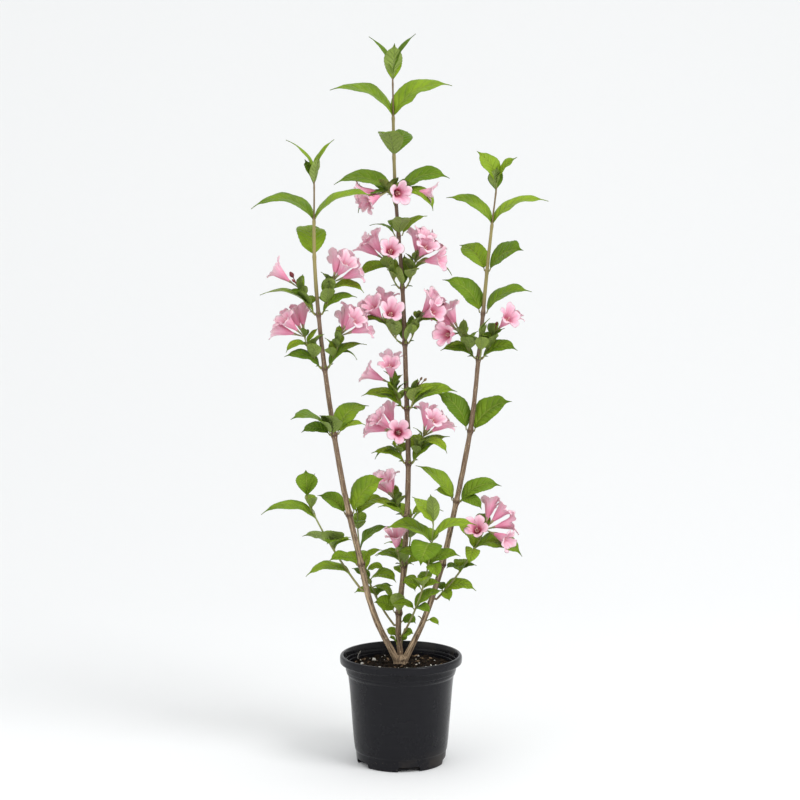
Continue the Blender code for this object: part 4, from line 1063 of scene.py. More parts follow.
def addStamens(bundle, flower, chance):
    # five threads with long anthers, and one longer style with a round stigma
    look = flowerLook
    axis, side, other = flowerFrame(flower)
    for k in range(6):
        a = math.radians(flower["spin"] + 72 * k + 20)
        off = (0.0026 if k < 5 else 0.0002) * (math.cos(a) * side + math.sin(a) * other)
        tall = look["length"] * ((0.62 + chance.uniform(-0.03, 0.03)) if k < 5 else 0.80)
        t = np.linspace(0, 1, 9)
        line = flower["start"] + look["pedicel"] * axis + (tall * t)[:, None] * axis + (t**1.3)[:, None] * off
        head = 0.86 if k < 5 else 0.97
        swell = (0.0004 if k < 5 else 0.0006) * smoothStep(head - 0.06, head, t)
        radii = 0.00026 + swell * (1 - 0.55 * smoothStep(0.96, 1, t))
        addRings(bundle, tubeRings(line, radii, 6), {"head": smoothStep(head - 0.08, head, t)[:, None]})


stamenLook = {"thread": (0.84, 0.56, 0.60), "head": (0.84, 0.70, 0.52), "dust": (0.62, 0.50, 0.32)}


def makeStamenMaterial():
    material, tree, shader = newMaterial("stamens")
    cloud = noiseNode(tree, objectPlace(tree), 1500.0)
    colour = mixColours(tree, attributeNode(tree, "head"), stamenLook["thread"], stamenLook["head"])
    colour = mixColours(tree, times(tree, cloud, 0.3), colour, stamenLook["dust"])
    tree.links.new(colour, shader.inputs["Base Color"])
    tree.links.new(rangeNode(tree, cloud, 0.3, 0.7, 0.55, 0.75), shader.inputs["Roughness"])
    tree.links.new(bumpNode(tree, cloud, 0.3, 0.0002), shader.inputs["Normal"])
    return material


# Green twigs and bark

twigLook = {
    "green": (0.270, 0.330, 0.090), "brown": (0.230, 0.130, 0.070), "pale": (0.36, 0.36, 0.16),
    "fleck": (0.10, 0.09, 0.03), "roughness": 0.55,
}


def makeTwigMaterial():
    material, tree, shader = newMaterial("greenTwig")
    age, tone = attributeNode(tree, "age"), attributeNode(tree, "tone")
    place = objectPlace(tree, (1.0, 1.0, 0.25))
    cloud, fine = noiseNode(tree, place, 120.0), noiseNode(tree, place, 1400.0)
    ageing = plus(tree, age, swing(tree, cloud, 0.9))
    colour = mixColours(tree, rangeNode(tree, ageing, 0.15, 0.85), twigLook["green"], twigLook["brown"])
    colour = mixColours(tree, times(tree, tone, 0.25), colour, twigLook["pale"])
    colour = mixColours(tree, times(tree, fine, 0.3), colour, twigLook["fleck"])
    tree.links.new(colour, shader.inputs["Base Color"])
    tree.links.new(rangeNode(tree, cloud, 0.3, 0.7, twigLook["roughness"] - 0.1, twigLook["roughness"] + 0.1),
                   shader.inputs["Roughness"])
    tree.links.new(bumpNode(tree, fine, 0.4, 0.0003), shader.inputs["Normal"])
    return material


barkLook = {
    "pale": (0.620, 0.455, 0.285), "grey": (0.300, 0.222, 0.146), "dark": (0.058, 0.031, 0.016),
    "reddish": (0.115, 0.052, 0.028), "green": (0.350, 0.300, 0.105), "greenDark": (0.190, 0.140, 0.060),
    "pore": (0.60, 0.47, 0.30),
    "shoot": (0.185, 0.112, 0.064), "scar": (0.070, 0.036, 0.018),
    "slimFrom": {"left": 0.7275, "centre": 0.8635, "right": 0.7225},
    # paintedSideShade: the most that painted shade darkens one side of the woody stems
    "stemDarkening": {"left": 0.04, "centre": 0.34, "right": 0.10}, "paintedSideShade": 0.36,
    "greenFrom": {"left": 0.612, "centre": 0.765, "right": 0.604},
    "sides": 32, "step": 0.0022,
}


def makeBarkMaterial():
    look = barkLook
    material, tree, shader = newMaterial("weigelaBark")
    age = attributeNode(tree, "age")           # 0 at the ground, 1 at the tips
    place = objectPlace(tree)
    split = tree.nodes.new("ShaderNodeSeparateXYZ")
    tree.links.new(place, split.inputs[0])
    ringX, ringY = attributeNode(tree, "ringX"), attributeNode(tree, "ringY")
    long = vectorNode(tree, ringX, ringY, times(tree, split.outputs["Z"], 22.0))      # runs up along the stem
    streaks, cloud = noiseNode(tree, long, 2.6, 4.0, 0.66), noiseNode(tree, place, 46.0, 3.0)
    fine = noiseNode(tree, place, 1700.0, 2.0)
    older = mixColours(tree, rangeNode(tree, streaks, 0.38, 0.64), look["dark"], look["pale"])
    older = mixColours(tree, rangeNode(tree, cloud, 0.40, 0.66, 0.0, 0.5), older, look["grey"])
    younger = mixColours(tree, rangeNode(tree, streaks, 0.34, 0.66), look["reddish"], look["grey"])
    shifted = plus(tree, age, swing(tree, cloud, 0.16))
    colour = mixColours(tree, rangeNode(tree, shifted, 0.22, 0.46), older, younger)
    green = mixColours(tree, times(tree, fine, 0.35), look["green"], look["greenDark"])
    young = plus(tree, attributeNode(tree, "green"), times(tree, cloud, 0.3))
    colour = mixColours(tree, rangeNode(tree, young, 0.30, 1.0), colour, green)
    colour = mixColours(tree, times(tree, attributeNode(tree, "shoot"), 0.8), colour, look["shoot"])
    # the scar mix darkens the bark at the old nodes and towards the foot, by each stem's set amount, and also
    # as painted shade on one side of the woody stems
    scar = times(tree, attributeNode(tree, "scar"), rangeNode(tree, streaks, 0.30, 0.60, 0.35, 0.95))
    colour = mixColours(tree, scar, colour, look["scar"])
    pores = useGroup(tree, flecks, Place=objectPlace(tree, (1.0, 1.0, 0.55)), Scale=620.0, Share=0.63)[0]
    pores = times(tree, pores, rangeNode(tree, age, 0.5, 0.8, 0.75, 0.0))
    colour = mixColours(tree, pores, colour, look["pore"])
    tree.links.new(colour, shader.inputs["Base Color"])
    tree.links.new(rangeNode(tree, age, 0.3, 0.9, 0.86, 0.52), shader.inputs["Roughness"])
    rough = bumpNode(tree, fine, 0.35, 0.0004)
    rough = bumpNode(tree, streaks, 0.65, 0.0009, rough)
    tree.links.new(bumpNode(tree, pores, 0.5, 0.0005, rough), shader.inputs["Normal"])
    return material


def addStem(bundle, stem):
    # radius = taper x (1 + foot flare) x (1 + swelling at each node) + ridges and knobs of noise on the bark
    look = barkLook
    charts = nodeCharts[stem]
    foot, top = stems[stem]["route"][0][2] * mm - 0.008, charts[0][0] * mm + 0.001
    heights = np.arange(foot, top, look["step"])
    points = stemPoints(stem, np.maximum(heights, stems[stem]["route"][0][2] * mm))
    points[:, 2] = heights
    sunk = np.clip(stems[stem]["route"][0][2] * mm - heights, 0, None)[:, None]
    points[:, :2] += sunk * np.sign(-points[:1, :2]) * 0.35      # under the foot it leans to the middle
    radii = stemRadius(stem, heights)
    radii = radii * (1 + 0.30 * np.exp(-(heights - foot) / 0.010))
    shoot = smoothStep(0, 0.005, heights - look["slimFrom"][stem])      # the last joint is thin and reddish
    radii = radii * (1 - 0.40 * shoot)
    # each stem's bark is darkened by a set amount, the centre stem most, and more towards its foot
    scar = look["stemDarkening"][stem] + 0.55 * np.exp(-(heights - foot) / 0.012)
    for chart in charts:
        near = (heights - chart[0] * mm) / 0.0034
        old = smoothStep(0.70, 0.55, chart[0] * mm)
        radii = radii * (1 + (0.20 + 0.24 * old) * np.exp(-(near**2)))
        scar += old * np.exp(-(((heights - chart[0] * mm + 0.0006) / 0.0020) ** 2))
    radii = radii * np.where(heights > top - 0.006, 0.85, 1.0)
    rings = tubeRings(points, radii, look["sides"])
    a = np.linspace(0, 2 * np.pi, look["sides"], endpoint=False)
    age = (heights - 0.13) / 0.66
    wood = (1 - smoothStep(0.45, 0.85, age))[:, None]
    ringX, ringY = np.cos(a)[None, :], np.sin(a)[None, :]
    spot = np.stack(np.broadcast_arrays(ringX, ringY, heights[:, None] / 0.016), axis=-1)
    ridge = latticeNoise(spot + 3.7, np.array((0.36, 0.36, 1.0)), len(stem))
    knob = latticeNoise(spot + 9.1, np.array((1.1, 1.1, 0.7)), len(stem) + 5)
    push = (0.00022 * ridge + 0.00030 * knob) * (0.25 + 0.75 * wood)
    outward = unit(rings - points[:, None, :])
    start = look["greenFrom"][stem]
    green = smoothStep(start - 0.02, start + 0.05, heights)
    # painted shade: the side of each woody stem where cos a is below zero is darkened towards the scar
    # colour, as if turned from the light, fading out where the stem turns green
    sideShade = look["paintedSideShade"] * (smoothStep(0, 0.9, -np.cos(a))[None, :] * (1 - green)[:, None])
    addRings(bundle, rings + push[..., None] * outward, {
        "age": np.clip(age, 0, 1)[:, None], "green": green[:, None], "shoot": shoot[:, None],
        "scar": scar[:, None] + sideShade, "ringX": ringX, "ringY": ringY,
    })


def addCrown(bundle):
    # a turned foot with lumps: radius x (1 + two sizes of noise)
    heights = np.linspace(-0.0012, 0.0135, 26)
    radii = np.interp(heights, (-0.0012, 0.0, 0.0018, 0.005, 0.0085, 0.0112, 0.0128, 0.0135),
                      (0.0135, 0.0130, 0.0104, 0.0094, 0.0098, 0.0086, 0.0050, 0.0020))
    a = np.linspace(0, 2 * np.pi, 64, endpoint=False)
    ringX, ringY = np.cos(a)[None, :], np.sin(a)[None, :]
    spot = np.stack(np.broadcast_arrays(ringX, ringY, heights[:, None] / 0.009), axis=-1)
    lump = 1 + 0.13 * latticeNoise(spot + 1.3, 0.62, 3) + 0.07 * latticeNoise(spot + 5.1, 0.24, 4)
    radius = radii[:, None] * lump
    ring = np.stack(np.broadcast_arrays(ringX, ringY), axis=-1)
    points = np.empty((len(heights), len(a), 3))
    points[..., :2] = radius[..., None] * ring
    points[..., 2] = 0.1313 + heights[:, None]
    addRings(bundle, points, {"age": 0.03, "green": 0.0, "shoot": 0.0, "scar": 0.45 + 0.4 * lump - 0.4,
                              "ringX": 2 * ringX, "ringY": 2 * ringY})


# Pot, potting mix, chips and perlite

potLook = {
    "black": (0.0078, 0.0078, 0.0102), "worn": (0.0140, 0.0141, 0.0172), "dust": (0.080, 0.064, 0.048),
    "rough": 0.22, "sides": 128,
    "drains": 5, "drainWidth": 0.030, "drainHeight": 0.0065, "drainTurn": -79.5,
    "drainCorner": 0.0022, "drainReach": (0.0535, 0.070), "specular": 0.17, "sharpAngle": 38,
}


def makePotMaterial():
    look = potLook
    material, tree, shader = newMaterial("blackPlastic")
    place = objectPlace(tree)
    across = objectPlace(tree, (0.35, 0.35, 9.0))
    grain, cloud = noiseNode(tree, place, 2600.0, 2.0), noiseNode(tree, place, 26.0, 4.0, 0.6)
    rub = noiseNode(tree, across, 60.0, 4.0, 0.65)
    split = tree.nodes.new("ShaderNodeSeparateXYZ")
    tree.links.new(place, split.inputs[0])
    low = rangeNode(tree, split.outputs["Z"], 0.004, 0.030, 1.0, 0.0)
    inside = attributeNode(tree, "inside")
    specks = useGroup(tree, flecks, Place=place, Scale=420.0, Share=0.66)[0]
    where = plus(tree, times(tree, low, 0.34), times(tree, inside, 0.25))
    dirt = times(tree, rangeNode(tree, cloud, 0.46, 0.74), where, clamp=True)
    speckled = times(tree, specks, plus(tree, times(tree, low, 0.5), 0.05))
    dirt = mathNode(tree, "MAXIMUM", dirt, speckled)
    colour = mixColours(tree, rangeNode(tree, rub, 0.46, 0.80, 0.0, 0.45), look["black"], look["worn"])
    colour = mixColours(tree, dirt, colour, look["dust"])
    tree.links.new(colour, shader.inputs["Base Color"])
    polish = rangeNode(tree, cloud, 0.3, 0.7, look["rough"] - 0.05, look["rough"] + 0.10)
    gloss = plus(tree, polish, times(tree, dirt, 0.4))
    tree.links.new(gloss, shader.inputs["Roughness"])
    shader.inputs["Specular IOR Level"].default_value = look["specular"]
    fine = bumpNode(tree, grain, 0.08, 0.0003)
    tree.links.new(bumpNode(tree, rub, 0.05, 0.0006, fine), shader.inputs["Normal"])
    return material


def roundCorners(line, rounds=2, share=0.22):
    # each corner gives way to two points a share of the way along its sides; the ends stay
    for _ in range(rounds):
        near, far = line[:-1], line[1:]
        cut = np.stack([near + share * (far - near), far - share * (far - near)], axis=1).reshape(-1, 2)
        line = np.concatenate([line[:1], cut, line[-1:]])
    return line


def makePot(material):
    # a profile of radius and height turned round the upright axis
    look = potLook
    outside = np.array((
        (0.0790, 0.1460), (0.0805, 0.1460), (0.0820, 0.1448), (0.0825, 0.1425), (0.0823, 0.1370),
        (0.0818, 0.1352), (0.0800, 0.1345), (0.0766, 0.1340), (0.0756, 0.1330), (0.0750, 0.1310),
        (0.0746, 0.1258), (0.0744, 0.1250), (0.0738, 0.1246), (0.0737, 0.1222), (0.0728, 0.1200),
        (0.0716, 0.1186), (0.0712, 0.1176), (0.0710, 0.1150), (0.0693, 0.1000), (0.0671, 0.0700),
        (0.0645, 0.0350), (0.0626, 0.0180), (0.0617, 0.0168), (0.0612, 0.0150), (0.0602, 0.0030),
        (0.0598, 0.0008), (0.0588, 0.0000),
    ))
    under = np.array(((0.0560, 0.0000), (0.0545, 0.0016), (0.0300, 0.0016), (0.0060, 0.0016)))
    inside = np.array((
        (0.0060, 0.0030), (0.0500, 0.0030), (0.0585, 0.0045), (0.0640, 0.0600), (0.0692, 0.1160),
        (0.0712, 0.1200), (0.0727, 0.1290), (0.0730, 0.1318), (0.0741, 0.1324), (0.0744, 0.1364),
        (0.0746, 0.1368), (0.0757, 0.1373), (0.0762, 0.1408), (0.0772, 0.1440), (0.0780, 0.1456),
    ))
    line = np.concatenate([roundCorners(outside), under, inside, outside[:1]])
    a = np.linspace(0, 2 * np.pi, look["sides"], endpoint=False)
    rows, sides = len(line) - 1, len(a)
    rings = np.empty((rows, sides, 3))
    rings[..., 0] = line[:-1, :1] * np.cos(a)
    rings[..., 1] = line[:-1, :1] * np.sin(a)
    rings[..., 2] = line[:-1, 1:]
    k = np.arange(sides)
    near = np.arange(rows)[:, None] * sides
    far = (np.arange(rows)[:, None] + 1) % rows * sides
    beside = (k + 1) % sides
    quads = np.stack([near + k, near + beside, far + beside, far + k], axis=-1).reshape(-1, 4)
    within = np.zeros(rows)
    within[len(roundCorners(outside)):] = 1.0
    bundle = newBundle()
    addShape(bundle, rings.reshape(-1, 3), quads, np.zeros((0, 3), int), {"inside": np.repeat(within, sides)})
    pot = makePiece("pot_shell", bundle, material, ("pot",))
    cutDrains(pot)
    return pot


def cutDrains(pot):
    # five notches with rounded corners cut from the foot by one Boolean, then applied
    look = potLook
    group = bpy.data.collections.new("drainCutters")
    bpy.context.scene.collection.children.link(group)
    corner = np.linspace(0, np.pi / 2, 5)
    half, tall, soft = look["drainWidth"] / 2, look["drainHeight"], look["drainCorner"]
    right = np.stack([half - soft + soft * np.cos(corner), tall - soft + soft * np.sin(corner)], axis=-1)
    outline = np.concatenate([[(half, -0.004)], right, (right * (-1, 1))[::-1], [(-half, -0.004)]])
    for k in range(look["drains"]):
        turn = math.radians(look["drainTurn"] + k * 360 / look["drains"])
        out = np.array((math.cos(turn), math.sin(turn), 0))
        side = np.array((-math.sin(turn), math.cos(turn), 0))
        flat = outline[:, :1] * side + outline[:, 1:] * upward
        rings = np.stack([flat + reach * out for reach in look["drainReach"]])
        bundle = newBundle()
        addRings(bundle, rings, {})
        mesh = bpy.data.meshes.new("drain")
        mesh.from_pydata(np.concatenate(bundle["points"]).tolist(), [],
                         np.concatenate(bundle["quads"]).tolist() + np.concatenate(bundle["tris"]).tolist())
        cutter = bpy.data.objects.new("drain", mesh)
        group.objects.link(cutter)
    cut = pot.modifiers.new("drains", "BOOLEAN")
    cut.operation, cut.operand_type, cut.collection, cut.solver = "DIFFERENCE", "COLLECTION", group, "EXACT"
    shaded = bpy.data.meshes.new_from_object(pot.evaluated_get(bpy.context.evaluated_depsgraph_get()))
    pot.modifiers.clear()
    pot.data = shaded
    pot.data.set_sharp_from_angle(angle=math.radians(look["sharpAngle"]))
    for item in list(group.objects):
        bpy.data.objects.remove(item, do_unlink=True)
    bpy.data.collections.remove(group)


soilLook = {
    "dark": (0.0034, 0.0024, 0.0014), "brown": (0.017, 0.0105, 0.0055), "fleck": (0.048, 0.032, 0.018),
    "level": 0.131, "drop": 0.0035, "edge": 0.0722, "mound": 0.0034, "moundRadius": 0.0150,
}


def makeSoilMaterial():
    material, tree, shader = newMaterial("pottingMix")
    place = objectPlace(tree)
    cloud, fine = noiseNode(tree, place, 170.0, 5.0, 0.7), noiseNode(tree, place, 1300.0, 3.0, 0.7)
    colour = mixColours(tree, rangeNode(tree, cloud, 0.40, 0.68), soilLook["dark"], soilLook["brown"])
    colour = mixColours(tree, rangeNode(tree, fine, 0.56, 0.84, 0.0, 0.6), colour, soilLook["fleck"])
    tree.links.new(colour, shader.inputs["Base Color"])
    tree.links.new(rangeNode(tree, cloud, 0.3, 0.7, 0.84, 0.98), shader.inputs["Roughness"])
    shader.inputs["Specular IOR Level"].default_value = 0.10
    rough = bumpNode(tree, fine, 0.8, 0.0012)
    tree.links.new(bumpNode(tree, cloud, 0.8, 0.003, rough), shader.inputs["Normal"])
    return material


def soilHeight(x, y):
    # level - drop x (share of the way to the wall)^2, with crumbs of three sizes and a mound at the foot
    look = soilLook
    far = np.hypot(x, y) / look["edge"]
    spot = np.stack([x, y, np.zeros_like(x)], axis=-1)
    crumbs = 0.0011 * latticeNoise(spot, 0.011, 1) + 0.0009 * latticeNoise(spot, 0.0046, 2)
    crumbs = crumbs + 0.0006 * latticeNoise(spot, 0.0021, 3)
    mound = look["mound"] * np.exp(-((far * look["edge"] / look["moundRadius"]) ** 4))
    return look["level"] - look["drop"] * far**2 + crumbs + 0.0004 + mound


def makeSoil(material):
    # rings of points at soilHeight, then down inside the wall to the floor of the pot
    look = soilLook
    radii = np.concatenate([np.linspace(0.0008, look["edge"], 74), [0.0690, 0.0560]])
    a = np.linspace(0, 2 * np.pi, 180, endpoint=False)
    points = np.empty((len(radii), len(a), 3))
    points[..., 0], points[..., 1] = radii[:, None] * np.cos(a), radii[:, None] * np.sin(a)
    points[..., 2] = soilHeight(points[..., 0], points[..., 1])
    points[-2, :, 2], points[-1, :, 2] = 0.110, 0.0045
    bundle = newBundle()
    addRings(bundle, points, {})
    return makePiece("potting_mix", bundle, material, ("soil",))


# a ball of twenty faces: its poles, and two rings of five points half a step apart
steps = [math.radians(72 * k) for k in range(5)]
half = math.radians(36)
ball = np.array(
    [(0, 0, 1)]
    + [(0.894 * math.cos(turn), 0.894 * math.sin(turn), 0.447) for turn in steps]
    + [(0.894 * math.cos(turn + half), 0.894 * math.sin(turn + half), -0.447) for turn in steps]
    + [(0, 0, -1)])
ballFaces = np.array([(0, 1 + k, 1 + (k + 1) % 5) for k in range(5)]
                     + [(1 + k, 6 + k, 1 + (k + 1) % 5) for k in range(5)]
                     + [(6 + k, 6 + (k + 1) % 5, 1 + (k + 1) % 5) for k in range(5)]
                     + [(11, 6 + (k + 1) % 5, 6 + k) for k in range(5)])


def scatterCrumbs(name, count, sizes, shape, sink, material, salt, keepAway=0.011):
    # lumps with twenty faces: unit ball x size x shape x (1 + noise), turned, and laid on the soil
    chance = np.random.default_rng(salt)
    radius = np.sqrt(chance.uniform((keepAway / 0.0705) ** 2, 1.0, count)) * 0.0700
    angle = chance.uniform(0, 2 * np.pi, count)
    x, y = radius * np.cos(angle), radius * np.sin(angle)
    size = sizes[0] + (sizes[1] - sizes[0]) * chance.uniform(0, 1, count) ** 1.8
    lumps = ball[None] * (1 + chance.uniform(-0.28, 0.28, (count, 12, 1)))
    lumps = lumps * np.asarray(shape) * (size / 2)[:, None, None]
    tilt, turn = chance.normal(0, 0.45, count), chance.uniform(0, 2 * np.pi, count)
    ct, st, cs, ss = np.cos(turn), np.sin(turn), np.cos(tilt), np.sin(tilt)
    lx, ly, lz = lumps[..., 0], lumps[..., 1], lumps[..., 2]
    lx, lz = cs[:, None] * lx - ss[:, None] * lz, ss[:, None] * lx + cs[:, None] * lz
    lx, ly = ct[:, None] * lx - st[:, None] * ly, st[:, None] * lx + ct[:, None] * ly
    base = soilHeight(x, y) + sink * size
    points = np.stack([lx + x[:, None], ly + y[:, None], lz + base[:, None]], axis=-1)
    reach = np.hypot(points[..., 0], points[..., 1]).max(axis=1)
    keep = reach < 0.0728
    points = points[keep]
    faces = (ballFaces[None] + 12 * np.arange(len(points))[:, None, None]).reshape(-1, 3)
    bundle = newBundle()
    tone = np.repeat(chance.uniform(0, 1, len(points)), 12)
    addShape(bundle, points.reshape(-1, 3), np.zeros((0, 4), int), faces, {"tone": tone})
    piece = makePiece(name, bundle, material)
    piece.data.polygons.foreach_set("use_smooth", np.zeros(len(piece.data.polygons), bool))


def makeCrumbMaterial(name, dark, light, rough):
    material, tree, shader = newMaterial(name)
    cloud = noiseNode(tree, objectPlace(tree), 900.0, 4.0, 0.65)
    tone = attributeNode(tree, "tone")
    mixed = plus(tree, times(tree, tone, 0.75), times(tree, cloud, 0.4))
    colour = mixColours(tree, rangeNode(tree, mixed, 0.1, 1.0), dark, light)
    tree.links.new(colour, shader.inputs["Base Color"])
    tree.links.new(rangeNode(tree, cloud, 0.3, 0.7, rough - 0.08, rough + 0.06), shader.inputs["Roughness"])
    shader.inputs["Specular IOR Level"].default_value = 0.14
    tree.links.new(bumpNode(tree, cloud, 0.6, 0.0006), shader.inputs["Normal"])
    return material


budLook = {     # mass, side shoot, turn, rise, stalk, length and radius in mm
    "red": (("foliage_left_5", 0, 172, 62, 13, 10, 3.1), ("foliage_left_5", 0, 214, 50, 7, 7, 1.8),
            ("foliage_centre_7", 0, 200, 70, 8, 7, 1.6), ("foliage_right_4", 1, 60, 66, 8, 7, 1.7)),
    "spent": (("foliage_centre_5", 1, -10, 50, 19, 6, 1.9), ("foliage_centre_5", 1, 24, 62, 17, 6, 1.7),
              ("foliage_centre_5", 1, -70, 44, 15, 6, 1.7), ("foliage_left_4", 1, 120, 40, 7, 5, 1.3)),
    "redColours": ((0.100, 0.016, 0.020), (0.290, 0.070, 0.075)),
    "spentColours": ((0.080, 0.048, 0.028), (0.300, 0.200, 0.120)), "roughness": 0.55,
}


def addBud(bundle, points, turn, rise, stalk, length, radius, chance):
    # a stalk that swells into a bud: radius x sin^0.7 of the share of its length
    share = np.linspace(0, 1, 13)
    way = heading(turn, rise)
    line = points[-1] + (stalk + length) * mm * share[:, None] * way
    line = line + (1.2 * mm * np.sin(np.pi * share))[:, None] * upward
    inBud = np.clip((share * (stalk + length) - stalk) / length, 0, 1)
    radii = np.maximum(0.0006, radius * mm * np.sin(np.pi * np.clip(inBud, 0.0, 0.94)) ** 0.7)
    addRings(bundle, tubeRings(line, radii, 9), {"tone": chance.random()})


def makeBuds(masses):
    chance = random.Random("buds")
    for kind in ("red", "spent"):
        bundle = newBundle()
        for name, number, *measures in budLook[kind]:
            addBud(bundle, masses[name][0][number][0], *measures, chance)
        colours = budLook[f"{kind}Colours"]
        material = makeCrumbMaterial(f"{kind}Bud", *colours, budLook["roughness"])
        makePiece(f"buds_{kind}", bundle, material)


crumbLook = {     # dark and light colour, roughness; then how many, sizes, shape, share sunk and seed
    "peat_crumbs": ("peatCrumbs", (0.0036, 0.0026, 0.0016), (0.026, 0.0155, 0.0085), 0.90,
                    1500, (0.0016, 0.0052), (1.0, 0.85, 0.7), 0.10, 11),
    "bark_chips": ("barkChips", (0.040, 0.020, 0.010), (0.300, 0.200, 0.120), 0.80,
                   84, (0.0028, 0.0100), (1.0, 0.42, 0.22), 0.12, 12),
    "perlite": ("perlite", (0.520, 0.470, 0.390), (0.860, 0.840, 0.790), 0.85,
                46, (0.0014, 0.0060), (1.0, 0.9, 0.8), 0.18, 13),
}


def makeCrumbs():
    materials = {}
    for name, (materialName, dark, light, rough, *_) in crumbLook.items():
        materials[name] = makeCrumbMaterial(materialName, dark, light, rough)
    for name, (_, _, _, _, count, sizes, shape, sink, salt) in crumbLook.items():
        scatterCrumbs(name, count, sizes, shape, sink, materials[name], salt)
    return materials


rootLook = {
    "turn": 139, "wander": 5, "sweep": 3, "radius": 0.0736, "inward": 0.0020,
    "top": 0.1385, "drop": 0.0105, "thick": 0.00034, "thinner": 0.00012, "tone": 0.6,
}


def makeRoot(material):
    # a pale root on the back of the wall: turn + wander x sin 2.6 s + sweep x s^2 round, radius - inward x s
    look = rootLook
    share = np.linspace(0, 1, 16)
    angle = np.radians(look["turn"] + look["wander"] * np.sin(2.6 * share) + look["sweep"] * share**2)
    radius = look["radius"] - look["inward"] * share
    height = look["top"] - look["drop"] * share
    line = np.stack([radius * np.cos(angle), radius * np.sin(angle), height], axis=-1)
    bundle = newBundle()
    addRings(bundle, tubeRings(line, look["thick"] - look["thinner"] * share, 7), {"tone": look["tone"]})
    makePiece("root", bundle, material)


def makeBark():
    bundle = newBundle()
    for stem in stems:
        addStem(bundle, stem)
    addCrown(bundle)
    makePiece("bark", bundle, makeBarkMaterial(), ("crown", "stem_left", "stem_centre", "stem_right"))


groupLook = {     # start of the names and their last letters for each group, then how young and how woody
    "groups": {
        "left": ("foliage_left", "p123456"),
        "centre_high": ("foliage_centre", "p6789"),
        "centre_low": ("foliage_centre", "12345"),
        "right": ("foliage_right", "p123456"),
        "low": ("shoot", "rtk"),
    },
    "youngTip": 0.04, "youngShoot": 0.16, "youngNode": 0.08, "shootAge": 0.55, "sideAge": 0.40,
}


def makeFoliage(masses):
    # leaves and petals in five groups; twigs, calyces and stamens in one piece each
    look = groupLook
    leafMaterial, petalMaterial = makeLeafMaterial(), makePetalMaterial()
    twigMaterial, stamenMaterial = makeTwigMaterial(), makeStamenMaterial()
    twigBundle, greenBundle, stamenBundle = newBundle(), newBundle(), newBundle()
    for group, (start, ends) in look["groups"].items():
        names = [name for name in masses if name.startswith(start) and name[-1] in ends]
        leafBundle, petalBundle = newBundle(), newBundle()
        for name in names:
            twigs, leaves, flowers, addedLeaves, addedFlowers = masses[name]
            chance = random.Random(f"look_{name}")
            onShoot = name.startswith("shoot")
            young = look["youngShoot" if onShoot else "youngNode"]
            if name.endswith("tip"):
                young = look["youngTip"]
            for leaf in leaves + addedLeaves:
                leaf["young"] = young + leaf.get("shade", 0.0)
                addLeaf(leafBundle, leaf, chance)
            for points, radii in twigs:
                age = look["shootAge" if onShoot else "sideAge"]
                fade = age * np.linspace(1, 0.3, len(points))[:, None]
                addRings(twigBundle, tubeRings(points, radii, 10), {"age": fade, "tone": chance.random()})
            for flower in flowers + addedFlowers:
                addCorolla(petalBundle, flower, chance)
                addStalkAndCalyx(greenBundle, flower, chance)
                addStamens(stamenBundle, flower, chance)
        makePiece(f"leaves_{group}", leafBundle, leafMaterial, names)
        if petalBundle["points"]:
            makePiece(f"petals_{group}", petalBundle, petalMaterial)
    makePiece("twigs", twigBundle, twigMaterial)
    makePiece("calyces", greenBundle, twigMaterial)
    makePiece("stamens", stamenBundle, stamenMaterial)


# Building
print("growing the plant")
masses = growPlant()
keepRooted(masses)
fillNodes(masses)

print("making leaves, flowers and buds")
makeFoliage(masses)
makeBuds(masses)

print("making bark, pot and potting mix")
makeBark()
makePot(makePotMaterial())
makeSoil(makeSoilMaterial())
crumbMaterials = makeCrumbs()
makeRoot(crumbMaterials["perlite"])


# Floor, light and camera

roomLook = {
    "floor": (0.850, 0.860, 0.866), "backdrop": (0.865, 0.876, 0.880),
    "world": 0.95, "key": 46.0, "keyPlace": (1.7, -1.4, 2.7), "fill": 10.0, "fillPlace": (-2.4, -1.8, 1.5),
    "sweepStart": 1.0, "sweepRadius": 3.2,
}
cameraLook = {"place": (-0.0013, -2.36, 0.705), "tilt": 84.8, "lens": 80, "sensor": 36}


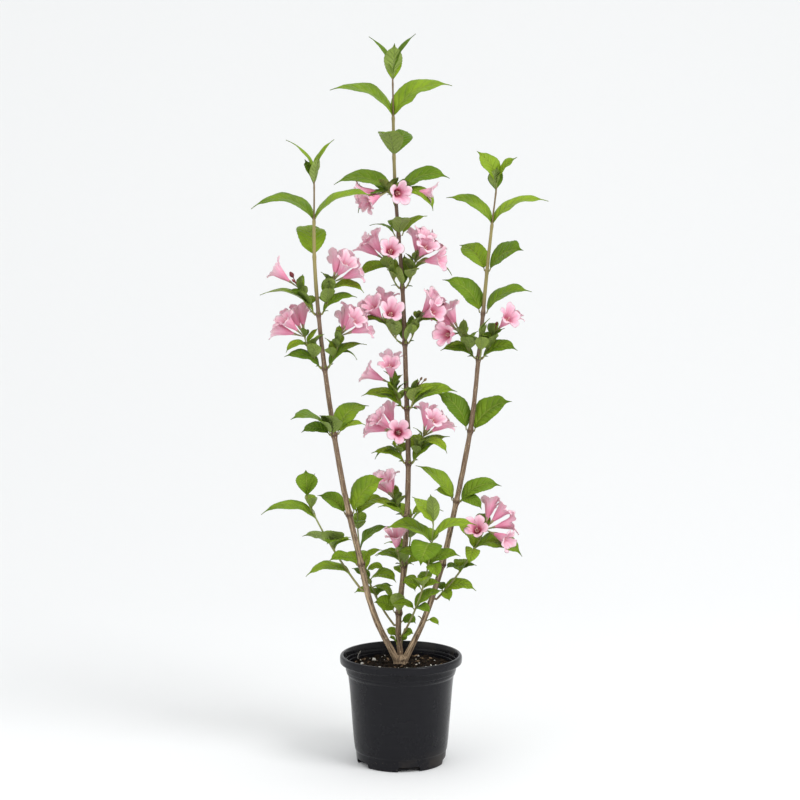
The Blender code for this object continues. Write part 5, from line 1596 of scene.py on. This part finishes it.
def makeFloor():
    # level in front, then a quarter circle up to an upright backdrop
    bend = np.linspace(0, np.pi / 2, 40)
    start, radius = roomLook["sweepStart"], roomLook["sweepRadius"]
    sweep = np.stack([start + radius * np.sin(bend), radius - radius * np.cos(bend)], axis=-1)
    line = np.concatenate([[(-6.0, 0.0)], sweep, [(start + radius, 6.0)]])
    points = [(x, y, z - 0.0002) for y, z in line for x in (-7.0, 7.0)]
    faces = [(2 * i, 2 * i + 1, 2 * i + 3, 2 * i + 2) for i in range(len(line) - 1)]
    mesh = bpy.data.meshes.new("floor")
    mesh.from_pydata(points, [], faces)
    mesh.polygons.foreach_set("use_smooth", np.ones(len(faces), bool))
    floor = bpy.data.objects.new("floor", mesh)
    bpy.context.scene.collection.objects.link(floor)
    material, tree, shader = newMaterial("paleFloor")
    cloud = noiseNode(tree, objectPlace(tree), 3.0)
    split = tree.nodes.new("ShaderNodeSeparateXYZ")
    tree.links.new(objectPlace(tree), split.inputs[0])
    height = plus(tree, split.outputs["Z"], times(tree, cloud, 0.1))
    rising = rangeNode(tree, height, 0.0, 1.1)
    colour = mixColours(tree, rising, roomLook["floor"], roomLook["backdrop"])
    tree.links.new(colour, shader.inputs["Base Color"])
    shader.inputs["Roughness"].default_value = 0.9
    shader.inputs["Specular IOR Level"].default_value = 0.1
    mesh.materials.append(material)


def makeLight(name, place, target, size, power):
    # an area lamp that faces its target
    light = bpy.data.lights.new(name, "AREA")
    light.shape, light.size, light.size_y = "RECTANGLE", size[0], size[1]
    light.energy = power
    lamp = bpy.data.objects.new(name, light)
    bpy.context.scene.collection.objects.link(lamp)
    lamp.location = place
    way = np.array(target) - np.array(place)
    flat = math.hypot(way[0], way[1])
    lamp.rotation_euler = (math.atan2(flat, -way[2]), 0, math.atan2(-way[0], way[1]))


print("setting up floor, light and camera")
makeFloor()
makeLight("keyLight", roomLook["keyPlace"], (0, 0, 0.5), (1.3, 1.3), roomLook["key"])
makeLight("fillLight", roomLook["fillPlace"], (0, 0, 0.5), (1.8, 1.8), roomLook["fill"])

world = bpy.data.worlds.new("studio")
bpy.context.scene.world = world
world.use_nodes = True
background = world.node_tree.nodes["Background"]
background.inputs["Color"].default_value = (1.0, 1.0, 1.0, 1.0)
background.inputs["Strength"].default_value = roomLook["world"]

camera = bpy.data.objects.new("camera", bpy.data.cameras.new("camera"))
bpy.context.scene.collection.objects.link(camera)
camera.location = cameraLook["place"]
camera.rotation_euler = (math.radians(cameraLook["tilt"]), 0, 0)
camera.data.lens, camera.data.sensor_width = cameraLook["lens"], cameraLook["sensor"]
bpy.context.scene.camera = camera
bpy.context.scene.view_settings.view_transform = "Standard"
